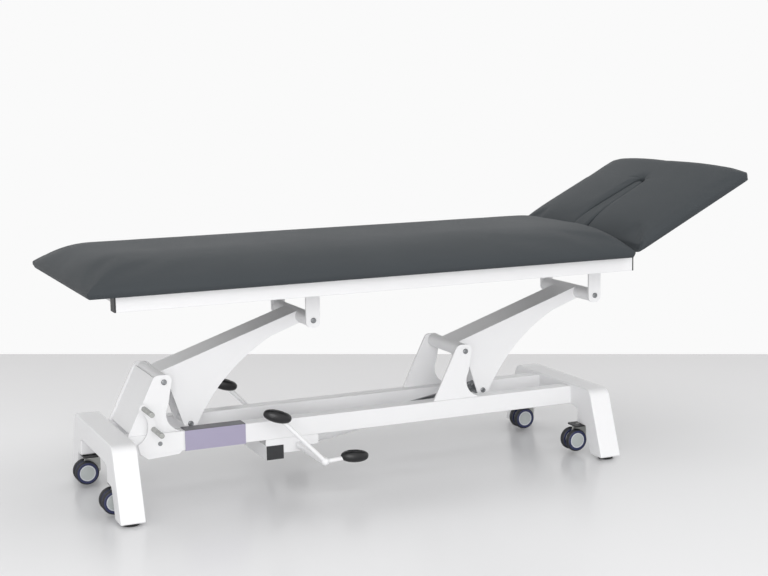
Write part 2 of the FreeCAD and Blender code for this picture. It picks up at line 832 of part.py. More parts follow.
def pump_bar():
    half = pump_bar_width / 2
    return box_tube(pump_bar_x - half, pump_bar_x + half, -rail_outer, rail_outer,
                    pump_bar_top - pump_bar_height, pump_bar_top, rail_wall, "y")


def pump_bar_caps():
    caps = []
    half = pump_bar_width / 2
    w = rail_wall
    for side in (-1, 1):
        y = side * rail_outer
        y0, y1 = sorted((y, y + side * 2))
        z0 = pump_bar_top - pump_bar_height
        flange = box(pump_bar_x - half, pump_bar_x + half, y0, y1, z0, pump_bar_top)
        y0, y1 = sorted((y, y - side * 12))
        plug = box(pump_bar_x - half + w, pump_bar_x + half - w, y0, y1, z0 + w, pump_bar_top - w)
        caps.append(flange.fuse(plug).removeSplitter())
    return caps


def pump_hangers():
    """Strips that hang the pump bar and the pedal shaft from the rails."""
    half = pump_bar_width / 2
    strips = []
    for side in (-1, 1):
        y0, y1 = sorted((side * (rail_outer - 3), side * (rail_outer - 3 - hanger_strip)))
        spacer = box(pump_bar_x - half, pump_bar_x + half, y0, y1, pump_bar_top, rail_bottom)
        bracket = box(pump_bar_x + half, pump_shaft_x + 16, y0, y1,
                      pump_shaft_height - 18, rail_bottom)
        tail = box(pump_shaft_x + 16, cylinder_pivot_x + 8, y0, y1,
                   rail_bottom - 26, rail_bottom)
        strip = spacer.fuse(bracket).fuse(tail).removeSplitter()
        bore = pump_shaft_diameter + 2 * running_clearance
        strips.append(strip.cut(rod_y(pump_shaft_x, pump_shaft_height, bore, y0, y1)))
    return strips


def pump_body():
    """Reservoir and valve block behind the cylinder, open fork towards it."""
    x0 = pump_bar_x + pump_bar_width / 2
    x1 = cylinder_pivot_x
    half = pump_body_width / 2
    z0 = pump_bar_top - pump_bar_height
    z1 = rail_top - pump_body_sink
    tank = plate_xy([(x0, -half, 4), (x1 - 24, -half, 8), (x1 - 24, half, 8), (x0, half, 4)], z0, z1)
    cheek = rod_eye_width / 2 + side_clearance
    fork = box(x1 - 24, x1 + 12, -cheek - 10, cheek + 10,
               cylinder_pivot_height - 16, cylinder_pivot_height + 16)
    fork = fork.cut(box(x1 - 22, x1 + 12, -cheek, cheek,
                        cylinder_pivot_height - 16, cylinder_pivot_height + 16))
    body = tank.fuse(fork)
    body = body.cut(rod_y(x1, cylinder_pivot_height, eye_pin_diameter, -half, half))
    shaft_way = pump_shaft_diameter + 4
    body = body.cut(rod_y(pump_shaft_x, pump_shaft_height, shaft_way, -half, half))
    return body.removeSplitter()


def cylinder_pin():
    half = rod_eye_width / 2 + side_clearance + 10
    return rod_y(cylinder_pivot_x, cylinder_pivot_height, eye_pin_diameter, -half, half)


def cylinder_axis():
    horn = arm_point(arm_horn_along, -arm_horn_drop, tower_head_x)
    pivot = V(cylinder_pivot_x, 0, cylinder_pivot_height)
    direction = horn.sub(pivot)
    reach = direction.Length
    direction.normalize()
    return pivot, direction, reach


def cylinder_barrel():
    pivot, along, _ = cylinder_axis()
    start = pivot.add(along * (rod_eye_radius + 8))
    end = pivot.add(along * cylinder_length)
    tube = rod_between(start, end, cylinder_diameter)
    neck_end = end.add(along * 14)
    tube = tube.fuse(rod_between(end, neck_end, cylinder_diameter - 10))
    bore_start = pivot.add(along * 60)
    bore = rod_between(bore_start, end.sub(along * 12), cylinder_bore)
    gland = rod_between(end.sub(along * 14), neck_end.add(along * 2),
                        rod_diameter + 2 * running_clearance)
    tube = tube.cut(bore).cut(gland)
    half = rod_eye_width / 2
    eye = rod_y(pivot.x, pivot.z, 2 * rod_eye_radius, -half, half)
    lug = rod_between(pivot, start, rod_eye_width * 0.9)
    pin_bore = eye_pin_diameter + 2 * running_clearance
    part = tube.fuse(eye).fuse(lug)
    return part.cut(rod_y(pivot.x, pivot.z, pin_bore, -half, half)).removeSplitter()


def cylinder_rod():
    pivot, along, reach = cylinder_axis()
    horn = pivot.add(along * reach)
    inside = pivot.add(along * (cylinder_length - rod_inside + 60))
    half = rod_eye_width / 2
    rod = rod_between(inside, horn.sub(along * (rod_eye_radius * 0.6)), rod_diameter)
    piston = rod_between(inside, inside.add(along * 18), cylinder_bore - 0.2)
    eye = rod_y(horn.x, horn.z, 2 * rod_eye_radius, -half, half)
    pin_half = arm_half - arm_plate - 8
    pin = rod_y(horn.x, horn.z, eye_pin_diameter, -pin_half, pin_half)
    return rod.fuse(piston).fuse(eye).fuse(pin).removeSplitter()


def pedal_joint(side):
    return V(pedal_joint_x, side * pedal_plane, pedal_joint_height)


def pedal_shaft():
    """Cross shaft with a slanted lever tube from each end to its pedal joint."""
    end = rail_outer + 6
    shaft = rod_y(pump_shaft_x, pump_shaft_height, pump_shaft_diameter, -end, end)
    for side in (-1, 1):
        root = V(pump_shaft_x, side * end, pump_shaft_height)
        lever = rod_between(root, pedal_joint(side), pedal_lever_diameter)
        knuckle = Part.makeSphere(pedal_lever_diameter / 2, root)
        shaft = shaft.fuse(lever).fuse(knuckle)
        shaft = shaft.cut(pedal_rods(side))
    return largest(shaft)


def pedal_end(length, angle, side):
    reach = V(cos(radians(angle)), 0, sin(radians(angle))) * length
    return pedal_joint(side).add(reach)


def pedal_rods(side):
    """Two round rods welded to a ball on the end of the lever tube."""
    hub = pedal_joint(side)
    rods = Part.makeSphere(pedal_ball_diameter / 2, hub)
    for length, angle in ((pedal_up_length, pedal_up_angle), (pedal_down_length, pedal_down_angle)):
        rods = rods.fuse(rod_between(hub, pedal_end(length - 12, angle, side), pedal_rod_diameter))
    return rods.removeSplitter()


def pedal_pad(length, angle, side, lean, rods):
    """Rubber pill turned about its long axis, hollowed on top and pushed on a rod."""
    centre = pedal_end(length, angle, side)
    half = pedal_pad_length / 2
    r = pedal_pad_diameter / 2
    c = pedal_pad_corner
    outline = [(V(-half, 0, 0), 0), (V(-half, 0, r), c), (V(half, 0, r), c), (V(half, 0, 0), 0)]
    shape = Part.Face(rounded_wire(outline)).revolve(V(0, 0, 0), V(1, 0, 0), 360)
    hollow = Part.Ellipse(V(0, 0, r - pedal_hollow_depth), pedal_hollow_length / 2,
                          pedal_hollow_width / 2).toShape()
    hollow = Part.Face(Part.Wire([hollow])).extrude(V(0, 0, r))
    shape = shape.cut(hollow)
    shape.rotate(V(0, 0, 0), V(0, -1, 0), lean)
    shape.translate(centre)
    return largest(shape.cut(rods))


# Wheel lift

def caster_places():
    """Name, swivel axis x, guide post x and side of each caster."""
    return [("foot_near", caster_foot_x, -guide_post_x, -1),
            ("foot_far", caster_foot_x, -guide_post_x, 1),
            ("head_near", caster_head_x, guide_post_x, -1),
            ("head_far", caster_head_x, guide_post_x, 1)]


def caster_carrier(x, post_x, side):
    """Black plate under the haunch that the caster turns in, with its guide post."""
    y = side * caster_axis_y
    half = carrier_width / 2
    top = haunch_height - 2 - carrier_gap
    y0, y1 = sorted((y - side * half, side * (guide_post_y + half * 0.6)))
    x0 = min(x, post_x) - half
    x1 = max(x, post_x) + half * 0.6
    plate = plate_xy([(x0, y0, 6), (x1, y0, 6), (x1, y1, 6), (x0, y1, 6)],
                     top - carrier_thickness, top)
    post = rod_z(post_x, side * guide_post_y, guide_post_diameter, top, top + guide_post_length)
    bore = rod_z(x, y, stem_diameter + 2 * running_clearance, top - carrier_thickness, top)
    return plate.fuse(post).cut(bore).removeSplitter()


def caster_fork(x, side):
    """Swivel disc and stem, and the plate between the wheels that holds the axle."""
    y = side * caster_axis_y
    wheel_x = x - caster_trail
    under = haunch_height - 2 - carrier_gap - carrier_thickness - 0.4
    low = under - swivel_plate_thickness
    disc = rod_z(x, y, swivel_plate_diameter, low, under)
    stem = rod_z(x, y, stem_diameter, low, under + carrier_thickness)
    half = wheel_gap / 2 - 2
    boss = axle_diameter + 4
    outline = [
        (x + fork_reach, low, 3),
        (x - swivel_plate_diameter / 2 + 2, low, 3),
        (wheel_x - boss, wheel_height + 6, 8),
        (wheel_x - boss, wheel_height - boss, 8),
        (wheel_x + boss, wheel_height - boss, 8),
        (x + fork_reach, wheel_height - 2, 6),
    ]
    web = plate_xz(outline, y - half, y + half)
    fork = disc.fuse(stem).fuse(web)
    bore = axle_diameter + 2 * running_clearance
    return fork.cut(rod_y(wheel_x, wheel_height, bore, y - 30, y + 30)).removeSplitter()


def turned_y(section, x, y, z, outward):
    """Section of (radius, distance along the axle) turned about the axle at x, y, z."""
    points = [V(x + radius, y + outward * along, z) for radius, along in section]
    face = Part.Face(Part.makePolygon(points + [points[0]]))
    return face.revolve(V(x, y, z), V(0, 1, 0), 360)


def tyre_section():
    """Tyre with sloping shoulders and a groove round the middle of its tread."""
    r = wheel_radius
    bore = hub_diameter / 2
    w = wheel_width
    s = tyre_shoulder
    g = tread_groove
    return [(bore, 0), (r - s, 0), (r - s * 0.3, s * 0.35), (r, s),
            (r, w / 2 - g), (r - g, w / 2 - g * 0.4), (r - g, w / 2 + g * 0.4), (r, w / 2 + g),
            (r, w - s), (r - s * 0.3, w - s * 0.35), (r - s, w), (bore, w)]


def caster_tyres(x, side):
    y = side * caster_axis_y
    return [turned_y(tyre_section(), x - caster_trail, y + s * wheel_gap / 2, wheel_height, s)
            for s in (-1, 1)]


def caster_hubs(x, side):
    """Two discs with a raised rim on one axle."""
    wheel_x = x - caster_trail
    y = side * caster_axis_y
    r = hub_diameter / 2
    face = wheel_width - hub_sink
    section = [(0, 0), (r, 0), (r, face), (r - hub_rim_width * 0.3, face + hub_rim_rise),
               (r - hub_rim_width * 0.8, face + hub_rim_rise), (r - hub_rim_width, face), (0, face)]
    half = wheel_gap / 2
    hubs = rod_y(wheel_x, wheel_height, axle_diameter, y - half, y + half)
    for s in (-1, 1):
        hubs = hubs.fuse(turned_y(section, wheel_x, y + s * half, wheel_height, s))
    return hubs.removeSplitter()


def peg_plate():
    """Rocking plate of the wheel lift, over the near rail at the foot end."""
    y1 = -rail_outer - peg_plate_gap
    y0 = y1 - peg_plate_thickness
    right = -half_length + sleeve_start - 6
    left = peg_upper_x - 13
    low = rail_bottom + 3
    high = rail_top + 2
    up = peg_upper_height
    points = {
        "corner": V(left - 7, y0, low + 26),
        "bite": V(peg_upper_x + 9, y0, peg_lower_height + 2),
        "head_left": V(left + 1, y0, up - 4),
        "head_top": V(peg_upper_x, y0, up + 12),
        "head_right": V(peg_upper_x + 12, y0, up + 1),
        "neck": V(peg_lower_x + 1, y0, up - 28),
        "shoulder": V(peg_lower_x + 12, y0, high),
        "top_right": V(right, y0, high),
        "low_right": V(right, y0, low),
        "low_left": V(left, y0, low),
    }
    p = points
    wire = Part.Wire([
        Part.Arc(p["corner"], p["bite"], p["head_left"]).toShape(),
        Part.Arc(p["head_left"], p["head_top"], p["head_right"]).toShape(),
        Part.Arc(p["head_right"], p["neck"], p["shoulder"]).toShape(),
        Part.LineSegment(p["shoulder"], p["top_right"]).toShape(),
        Part.LineSegment(p["top_right"], p["low_right"]).toShape(),
        Part.LineSegment(p["low_right"], p["low_left"]).toShape(),
        Part.LineSegment(p["low_left"], p["corner"]).toShape(),
    ])
    plate = Part.Face(wire).extrude(V(0, peg_plate_thickness, 0))
    lip = plate_xz([(left, low + 2, 0), (left + 20, low - peg_lip_drop, 6),
                    (right - 12, low - peg_lip_drop * 0.65, 6), (right, low + 2, 0)],
                   y1 - peg_lip_thickness, y1)
    plate = plate.fuse(lip).removeSplitter()
    bore = peg_bolt_diameter + 2 * running_clearance
    plate = plate.cut(rod_y(peg_pivot_x, peg_pivot_height, bore, y0, y1))
    return plate


def peg_bolt():
    """Shouldered bolt that carries the rocking plate on the rail."""
    y1 = -rail_outer
    spacer = rod_y(peg_pivot_x, peg_pivot_height, peg_bolt_diameter + 10,
                   y1 - peg_plate_gap + 0.4, y1)
    shoulder = rod_y(peg_pivot_x, peg_pivot_height, peg_bolt_diameter,
                     y1 - peg_plate_gap - peg_plate_thickness - 0.4, y1)
    return spacer.fuse(shoulder).removeSplitter()


def pegs():
    y1 = -rail_outer - peg_plate_gap - peg_plate_thickness
    out = []
    for x, z in ((peg_upper_x, peg_upper_height), (peg_lower_x, peg_lower_height)):
        peg = rod_y(x, z, peg_diameter, y1 - peg_length, y1)
        tip = [e for e in peg.Edges if e.BoundBox.YLength < 0.01 and e.BoundBox.YMin < y1 - 1]
        out.append(peg.makeFillet(1.5, tip))
    return out


def write(name, shapes):
    """Write one node: a solid, or several separate solids as one compound."""
    solids = shapes if isinstance(shapes, list) else [shapes]
    flat = []
    for shape in solids:
        flat.extend(shape.Solids)
    for solid in flat:
        if not solid.isValid() or solid.Volume <= 0:
            raise ValueError("bad solid in " + name)
    moved = [s.translated(V(shift_x, 0, 0)) for s in flat]
    result = moved[0] if len(moved) == 1 else Part.makeCompound(moved)
    result.exportStep("parts/" + name + ".step")
    print(name, len(flat), "solids", round(sum(s.Volume for s in flat) / 1000, 1), "cm3")


def write_base():
    crossbeam, legs = end_frame()
    write("end_frame_head", crossbeam)
    write("end_frame_foot", mirrored_x(crossbeam))
    write("end_frame_legs", legs + [mirrored_x(leg) for leg in legs])
    write("rubber_feet", rubber_feet())
    write("base_rail_near", base_rail(-1))
    write("base_rail_far", base_rail(1))
    write("rail_sleeve", rail_sleeve())
    write("tower_plates", tower_plates(tower_foot_x) + tower_plates(tower_head_x))
    write("tower_web", tower_web())
    write("tower_pivot_shafts", [pivot_shaft(x, pivot_height, tower_inner)
                                 for x in (tower_foot_x, tower_head_x)])
    write("tower_screws", pivot_screws((tower_foot_x, tower_head_x), pivot_height, tower_outer))


def write_lift():
    write("lift_arm_foot", lift_arm(tower_foot_x, running_clearance))
    write("lift_arm_head", lift_arm(tower_head_x, open_pivot_clearance))
    write("horn_spacer", horn_spacer(tower_foot_x))
    write("horn_screws_foot", horn_screws(tower_foot_x))
    write("horn_screws_head", horn_screws(tower_head_x))


def write_top():
    hangers = hanger_plates(tower_foot_x) + hanger_plates(tower_head_x)
    write("hanger_plates", hangers)
    tips = (tower_foot_x + upper_dx, tower_head_x + upper_dx)
    write("hanger_pivot_shafts", [pivot_shaft(x, upper_height, hanger_inner) for x in tips])
    write("hanger_screws", pivot_screws(tips, upper_height, hanger_outer))
    write("top_rail_near", top_rail(-1))
    write("top_rail_far", top_rail(1))
    write("rail_end_caps", rail_end_caps())
    half = cross_member_width / 2
    write("cross_members", [cross_member(x) for x in
                            (top_rail_foot_x + half + 30, tips[0],
                             head_hinge_x - hinge_disc_radius - cross_member_gap - half)])
    write("main_board", main_board())
    write("main_pad", main_pad())
    write("ratchet_discs", [ratchet_disc(-1), ratchet_disc(1)])


def write_head():
    write("head_frame", tilted_head(head_frame_flat()))
    write("head_board", tilted_head(head_board_flat()))
    write("head_pad", tilted_head(head_pad_flat()))
    write("face_plug", tilted_head(face_plug_flat()))


def write_pump():
    write("pump_bar", pump_bar())
    write("pump_bar_caps", pump_bar_caps())
    write("pump_hangers", pump_hangers())
    write("pump_body", pump_body())
    write("cylinder_pin", cylinder_pin())
    write("cylinder_barrel", cylinder_barrel())
    write("cylinder_rod", cylinder_rod())
    write("pedal_shaft", pedal_shaft())
    rods = {side: pedal_rods(side) for side in (-1, 1)}
    write("pedal_rods_near", rods[-1])
    write("pedal_rods_far", rods[1])
    pads = []
    for side in (-1, 1):
        pads.append(pedal_pad(pedal_up_length, pedal_up_angle, side, -18, rods[side]))
        pads.append(pedal_pad(pedal_down_length, pedal_down_angle, side, -5, rods[side]))
    write("pedal_pads", pads)


def write_wheels():
    for name, x, post_x, side in caster_places():
        write("caster_carrier_" + name, caster_carrier(x, post_x, side))
        write("caster_fork_" + name, caster_fork(x, side))
        write("caster_tyres_" + name, caster_tyres(x, side))
        write("caster_hubs_" + name, caster_hubs(x, side))
    write("peg_plate", peg_plate())
    write("peg_bolt", peg_bolt())
    write("pegs", pegs())


def print_places():
    """Joint places in the frame of the written pieces."""
    def show(name, x, y, z):
        print(name, [round(x + shift_x, 2), round(y, 2), round(z, 2)])

    show("tower pivot foot", tower_foot_x, 0, pivot_height)
    show("tower pivot head", tower_head_x, 0, pivot_height)
    show("upper pivot foot", tower_foot_x + upper_dx, 0, upper_height)
    show("upper pivot head", tower_head_x + upper_dx, 0, upper_height)
    show("head hinge", head_hinge_x, 0, head_hinge_height)
    pivot, along, reach = cylinder_axis()
    show("cylinder pivot", pivot.x, 0, pivot.z)
    print("cylinder axis", [round(along.x, 5), 0, round(along.z, 5)], "reach", round(reach, 2))
    show("pump shaft", pump_shaft_x, 0, pump_shaft_height)
    show("peg pivot", peg_pivot_x, -rail_outer, peg_pivot_height)
    for name, x, post_x, side in caster_places():
        show("caster axis " + name, x, side * caster_axis_y, 0)
        show("wheel axle " + name, x - caster_trail, side * caster_axis_y, wheel_height)
    print("head normal", [round(-sin(head_tilt), 5), 0, round(cos(head_tilt), 5)])
    print("origin shift", round(shift_x, 3))


os.makedirs("parts", exist_ok=True)
write_base()
write_lift()
write_top()
write_head()
write_pump()
write_wheels()
print_places()
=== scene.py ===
# %% [markdown]
# A treatment couch in Blender
#
# The couch is a white tubular base, two lift arms, a top frame and two padded sections. The packed
# CAD model already holds every rigid piece at its true size, so this lesson loads it as a fixed
# frame, gives each piece its finish, and then makes by hand what CAD leaves plain: the upholstery,
# the caster wheels and the rubber pedals. All lengths are metres, +X points to the head end.

# %% Load the frame
import json
from math import cos, pi, radians, sin, sqrt

import bpy
from mathutils import Matrix, Vector


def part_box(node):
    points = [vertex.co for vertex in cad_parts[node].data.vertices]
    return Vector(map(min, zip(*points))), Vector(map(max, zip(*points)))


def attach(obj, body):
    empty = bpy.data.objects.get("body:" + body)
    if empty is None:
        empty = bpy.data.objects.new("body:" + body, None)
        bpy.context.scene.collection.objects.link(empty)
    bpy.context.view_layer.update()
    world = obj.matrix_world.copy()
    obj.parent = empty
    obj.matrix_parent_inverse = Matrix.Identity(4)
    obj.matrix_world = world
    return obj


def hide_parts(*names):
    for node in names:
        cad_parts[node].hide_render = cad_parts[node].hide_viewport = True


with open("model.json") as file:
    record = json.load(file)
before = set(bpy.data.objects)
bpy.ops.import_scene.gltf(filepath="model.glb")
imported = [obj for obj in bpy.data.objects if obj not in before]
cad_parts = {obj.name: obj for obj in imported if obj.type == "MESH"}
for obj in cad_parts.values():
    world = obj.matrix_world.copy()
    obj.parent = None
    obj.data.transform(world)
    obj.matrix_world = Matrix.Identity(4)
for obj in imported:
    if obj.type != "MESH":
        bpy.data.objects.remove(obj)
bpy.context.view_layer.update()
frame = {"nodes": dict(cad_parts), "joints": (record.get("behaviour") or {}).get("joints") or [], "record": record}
nodes = frame["nodes"]

# %% [markdown]
# Working habits
#
# Blender's operators act on everything that is selected. These helpers leave exactly one piece
# selected, so that each step touches only the piece it is meant for. A finished piece keeps its
# place in its mesh, and its object stays at the origin, unturned.


# %% Helpers for selecting and finishing
def pick_only(piece):
    """Deselect everything, then select one piece."""
    if bpy.context.object and bpy.context.object.mode != "OBJECT":
        bpy.ops.object.mode_set(mode="OBJECT")
    bpy.ops.object.select_all(action="DESELECT")
    if piece:
        piece.select_set(True)
        bpy.context.view_layer.objects.active = piece


def select_faces(piece, wanted):
    """Enter edit mode with only the wanted faces selected."""
    pick_only(piece)
    bpy.ops.object.mode_set(mode="EDIT")
    bpy.ops.mesh.select_mode(type="FACE")
    bpy.ops.mesh.select_all(action="DESELECT")
    bpy.ops.object.mode_set(mode="OBJECT")
    for polygon in piece.data.polygons:
        polygon.select = wanted(polygon)
    bpy.ops.object.mode_set(mode="EDIT")


def leave_edit():
    bpy.ops.object.mode_set(mode="OBJECT")


def settle(piece):
    """Put the piece's place into its mesh and point its faces outwards."""
    pick_only(piece)
    bpy.ops.object.transform_apply(location=True, rotation=True, scale=True)
    bpy.ops.object.mode_set(mode="EDIT")
    bpy.ops.mesh.select_all(action="SELECT")
    bpy.ops.mesh.remove_doubles(threshold=0.00001)
    bpy.ops.mesh.normals_make_consistent(inside=False)
    leave_edit()


def apply_modifier(piece, modifier):
    pick_only(piece)
    bpy.ops.object.modifier_apply(modifier=modifier.name)


def smooth(piece, degrees_limit):
    pick_only(piece)
    bpy.ops.object.shade_smooth_by_angle(angle=radians(degrees_limit))


# %% [markdown]
# Finishes
#
# Each finish is one Principled material whose colour, roughness and bump vary as on the real
# surface. What several finishes share is built once as a node group: a fine bump, a cell pattern
# for leather-like grain, and a slow drift of brightness that stands for handling and dust. A group
# gives out only colours, masks and normals, and the shader stays in the material.


# %% Colours are written as they look on screen
def screen(r, g, b):
    """Linear colour of a screen colour from 0 to 255."""
    def part(value):
        value = value / 255
        return value / 12.92 if value <= 0.04045 else ((value + 0.055) / 1.055) ** 2.4
    return (part(r), part(g), part(b), 1.0)


# %% A group for fine bump: grain size and depth in, normal and mask out
def new_group(name, inputs, outputs):
    group = bpy.data.node_groups.new(name, "ShaderNodeTree")
    for label, kind, value in inputs:
        socket = group.interface.new_socket(name=label, in_out="INPUT", socket_type=kind)
        socket.default_value = value
    for label, kind in outputs:
        group.interface.new_socket(name=label, in_out="OUTPUT", socket_type=kind)
    return group, group.nodes.new("NodeGroupInput"), group.nodes.new("NodeGroupOutput")


def fine_bump_group():
    """Fine unevenness of paint, moulded plastic and rubber."""
    group, start, end = new_group(
        "fine_bump",
        [("Scale", "NodeSocketFloat", 300.0), ("Strength", "NodeSocketFloat", 0.1)],
        [("Normal", "NodeSocketVector"), ("Mask", "NodeSocketFloat")])
    place = group.nodes.new("ShaderNodeTexCoord")
    noise = group.nodes.new("ShaderNodeTexNoise")
    bump = group.nodes.new("ShaderNodeBump")
    noise.inputs["Detail"].default_value = 3.0
    bump.inputs["Distance"].default_value = 0.001
    group.links.new(place.outputs["Object"], noise.inputs["Vector"])
    group.links.new(start.outputs["Scale"], noise.inputs["Scale"])
    group.links.new(start.outputs["Strength"], bump.inputs["Strength"])
    group.links.new(noise.outputs["Fac"], bump.inputs["Height"])
    group.links.new(bump.outputs["Normal"], end.inputs["Normal"])
    group.links.new(noise.outputs["Fac"], end.inputs["Mask"])
    return group


fine_bump = fine_bump_group()
print("group", fine_bump.name)


# %% A group for slow drift of brightness
def drift_group():
    """Slow change of brightness over the piece: handling, dust and uneven light wear."""
    group, start, end = new_group(
        "slow_drift",
        [("Color", "NodeSocketColor", (0.8, 0.8, 0.8, 1)), ("Amount", "NodeSocketFloat", 0.06),
         ("Scale", "NodeSocketFloat", 4.0)],
        [("Color", "NodeSocketColor"), ("Mask", "NodeSocketFloat")])
    place = group.nodes.new("ShaderNodeTexCoord")
    noise = group.nodes.new("ShaderNodeTexNoise")
    spread = group.nodes.new("ShaderNodeMapRange")
    dim = group.nodes.new("ShaderNodeMix")
    dim.data_type = "RGBA"
    dim.blend_type = "MULTIPLY"
    noise.inputs["Detail"].default_value = 4.0
    spread.inputs["From Min"].default_value = 0.35
    spread.inputs["From Max"].default_value = 0.65
    spread.inputs["To Min"].default_value = 0.0
    group.links.new(place.outputs["Object"], noise.inputs["Vector"])
    group.links.new(start.outputs["Scale"], noise.inputs["Scale"])
    group.links.new(noise.outputs["Fac"], spread.inputs["Value"])
    group.links.new(start.outputs["Amount"], spread.inputs["To Max"])
    group.links.new(spread.outputs["Result"], dim.inputs["Factor"])
    group.links.new(start.outputs["Color"], dim.inputs["A"])
    dim.inputs["B"].default_value = (0.45, 0.45, 0.46, 1)
    group.links.new(dim.outputs["Result"], end.inputs["Color"])
    group.links.new(noise.outputs["Fac"], end.inputs["Mask"])
    return group


slow_drift = drift_group()
print("group", slow_drift.name)


# %% A group for the vinyl's grain
def vinyl_grain_group():
    """Small irregular cells with fine creases between them, as on coated upholstery."""
    group, start, end = new_group(
        "vinyl_grain",
        [("Scale", "NodeSocketFloat", 650.0), ("Strength", "NodeSocketFloat", 0.3)],
        [("Normal", "NodeSocketVector"), ("Mask", "NodeSocketFloat")])
    place = group.nodes.new("ShaderNodeTexCoord")
    cells = group.nodes.new("ShaderNodeTexVoronoi")
    cells.feature = "DISTANCE_TO_EDGE"
    ripple = group.nodes.new("ShaderNodeTexNoise")
    ripple.inputs["Scale"].default_value = 26.0
    ripple.inputs["Detail"].default_value = 2.0
    edge = group.nodes.new("ShaderNodeMapRange")
    edge.inputs["From Max"].default_value = 0.14
    grain = group.nodes.new("ShaderNodeBump")
    grain.inputs["Distance"].default_value = 0.0004
    soft = group.nodes.new("ShaderNodeBump")
    soft.inputs["Strength"].default_value = 0.12
    soft.inputs["Distance"].default_value = 0.004
    group.links.new(place.outputs["Object"], cells.inputs["Vector"])
    group.links.new(place.outputs["Object"], ripple.inputs["Vector"])
    group.links.new(start.outputs["Scale"], cells.inputs["Scale"])
    group.links.new(cells.outputs["Distance"], edge.inputs["Value"])
    group.links.new(edge.outputs["Result"], grain.inputs["Height"])
    group.links.new(start.outputs["Strength"], grain.inputs["Strength"])
    group.links.new(ripple.outputs["Fac"], soft.inputs["Height"])
    group.links.new(soft.outputs["Normal"], grain.inputs["Normal"])
    group.links.new(grain.outputs["Normal"], end.inputs["Normal"])
    group.links.new(edge.outputs["Result"], end.inputs["Mask"])
    return group


vinyl_grain = vinyl_grain_group()
print("group", vinyl_grain.name)

# %% [markdown]
# One recipe serves most finishes: a colour that drifts a little, a roughness that follows the same
# drift, and a bump of the right size. Gloss and metal are plain numbers on the shader.


# %% The common recipe
def place_group(material, group, **values):
    node = material.node_tree.nodes.new("ShaderNodeGroup")
    node.node_tree = group
    for label, value in values.items():
        node.inputs[label].default_value = value
    return node


def finish(name, colour, roughness, metallic=0.0, drift=0.06, drift_scale=4.0, grain=300.0,
           depth=0.1, specular=0.5, skin=None):
    material = bpy.data.materials.new(name)
    material.use_nodes = True
    tree = material.node_tree
    shader = tree.nodes["Principled BSDF"]
    tint = place_group(material, slow_drift, Color=colour, Amount=drift, Scale=drift_scale)
    bump = place_group(material, skin or fine_bump, Scale=grain, Strength=depth)
    tree.links.new(tint.outputs["Color"], shader.inputs["Base Color"])
    tree.links.new(bump.outputs["Normal"], shader.inputs["Normal"])
    rough = tree.nodes.new("ShaderNodeMapRange")
    rough.inputs["To Min"].default_value = roughness - 0.05
    rough.inputs["To Max"].default_value = roughness + 0.07
    tree.links.new(tint.outputs["Mask"], rough.inputs["Value"])
    tree.links.new(rough.outputs["Result"], shader.inputs["Roughness"])
    shader.inputs["Metallic"].default_value = metallic
    shader.inputs["Specular IOR Level"].default_value = specular
    return material


finishes = {
    "white_paint": finish("white_powder_coat", screen(240, 240, 241), 0.34, drift=0.03,
                          grain=900.0, depth=0.05),
    "upholstery": finish("grey_vinyl", screen(67, 71, 74), 0.5, drift=0.05, drift_scale=5.0,
                         grain=620.0, depth=0.35, specular=0.09, skin=vinyl_grain),
    "board": finish("black_ply", screen(38, 36, 35), 0.7, drift=0.5, drift_scale=30.0,
                    grain=160.0, depth=0.3),
    "rubber": finish("foot_rubber", screen(30, 30, 31), 0.75, drift=0.3, drift_scale=40.0,
                     grain=500.0, depth=0.3),
    "cap_plastic": finish("cap_plastic", screen(44, 45, 47), 0.5, drift=0.15, drift_scale=30.0,
                          grain=1400.0, depth=0.25),
    "zinc": finish("zinc_plate", screen(176, 177, 174), 0.38, metallic=0.85, drift=0.25,
                   drift_scale=45.0, grain=700.0, depth=0.12),
    "steel": finish("turned_steel", screen(150, 152, 154), 0.3, metallic=1.0, drift=0.2,
                    drift_scale=60.0, grain=1200.0, depth=0.1),
    "black_steel": finish("black_coat", screen(34, 34, 36), 0.45, drift=0.2, drift_scale=30.0,
                          grain=900.0, depth=0.12),
    "pedal_rubber": finish("pedal_rubber", screen(26, 26, 28), 0.36, drift=0.2,
                           drift_scale=40.0, grain=420.0, depth=0.16),
    "hub": finish("hub_grey", screen(172, 177, 176), 0.42, drift=0.08, drift_scale=50.0,
                  grain=1500.0, depth=0.1),
    "tyre": finish("navy_tyre", screen(42, 48, 84), 0.5, drift=0.15, drift_scale=60.0,
                   grain=800.0, depth=0.15),
}
print(len(finishes), "finishes")

# %% [markdown]
# The rail cover is one folded sheet with a lavender front and a darker top. The colour changes at
# the fold, so the material reads the height in Object coordinates and switches just above the
# rail's top face.


# %% Two-tone rail cover
def two_tone(name, low_colour, high_colour, height):
    material = finish(name, low_colour, 0.4, drift=0.04, grain=900.0, depth=0.05)
    tree = material.node_tree
    shader = tree.nodes["Principled BSDF"]
    place = tree.nodes.new("ShaderNodeTexCoord")
    axes = tree.nodes.new("ShaderNodeSeparateXYZ")
    above = tree.nodes.new("ShaderNodeMath")
    above.operation = "GREATER_THAN"
    above.inputs[1].default_value = height
    blend = tree.nodes.new("ShaderNodeMix")
    blend.data_type = "RGBA"
    blend.inputs["B"].default_value = high_colour
    tint = shader.inputs["Base Color"].links[0].from_node
    tree.links.new(place.outputs["Object"], axes.inputs["Vector"])
    tree.links.new(axes.outputs["Z"], above.inputs[0])
    tree.links.new(above.outputs["Value"], blend.inputs["Factor"])
    tree.links.new(tint.outputs["Color"], blend.inputs["A"])
    tree.links.new(blend.outputs["Result"], shader.inputs["Base Color"])
    return material


cover_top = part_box("rail_sleeve")[1].z
cover_fold = 0.0015
finishes["sleeve"] = two_tone("lavender_cover", screen(166, 160, 184), screen(92, 92, 98),
                              cover_top - cover_fold)
print("cover's top at", round(cover_top, 4))


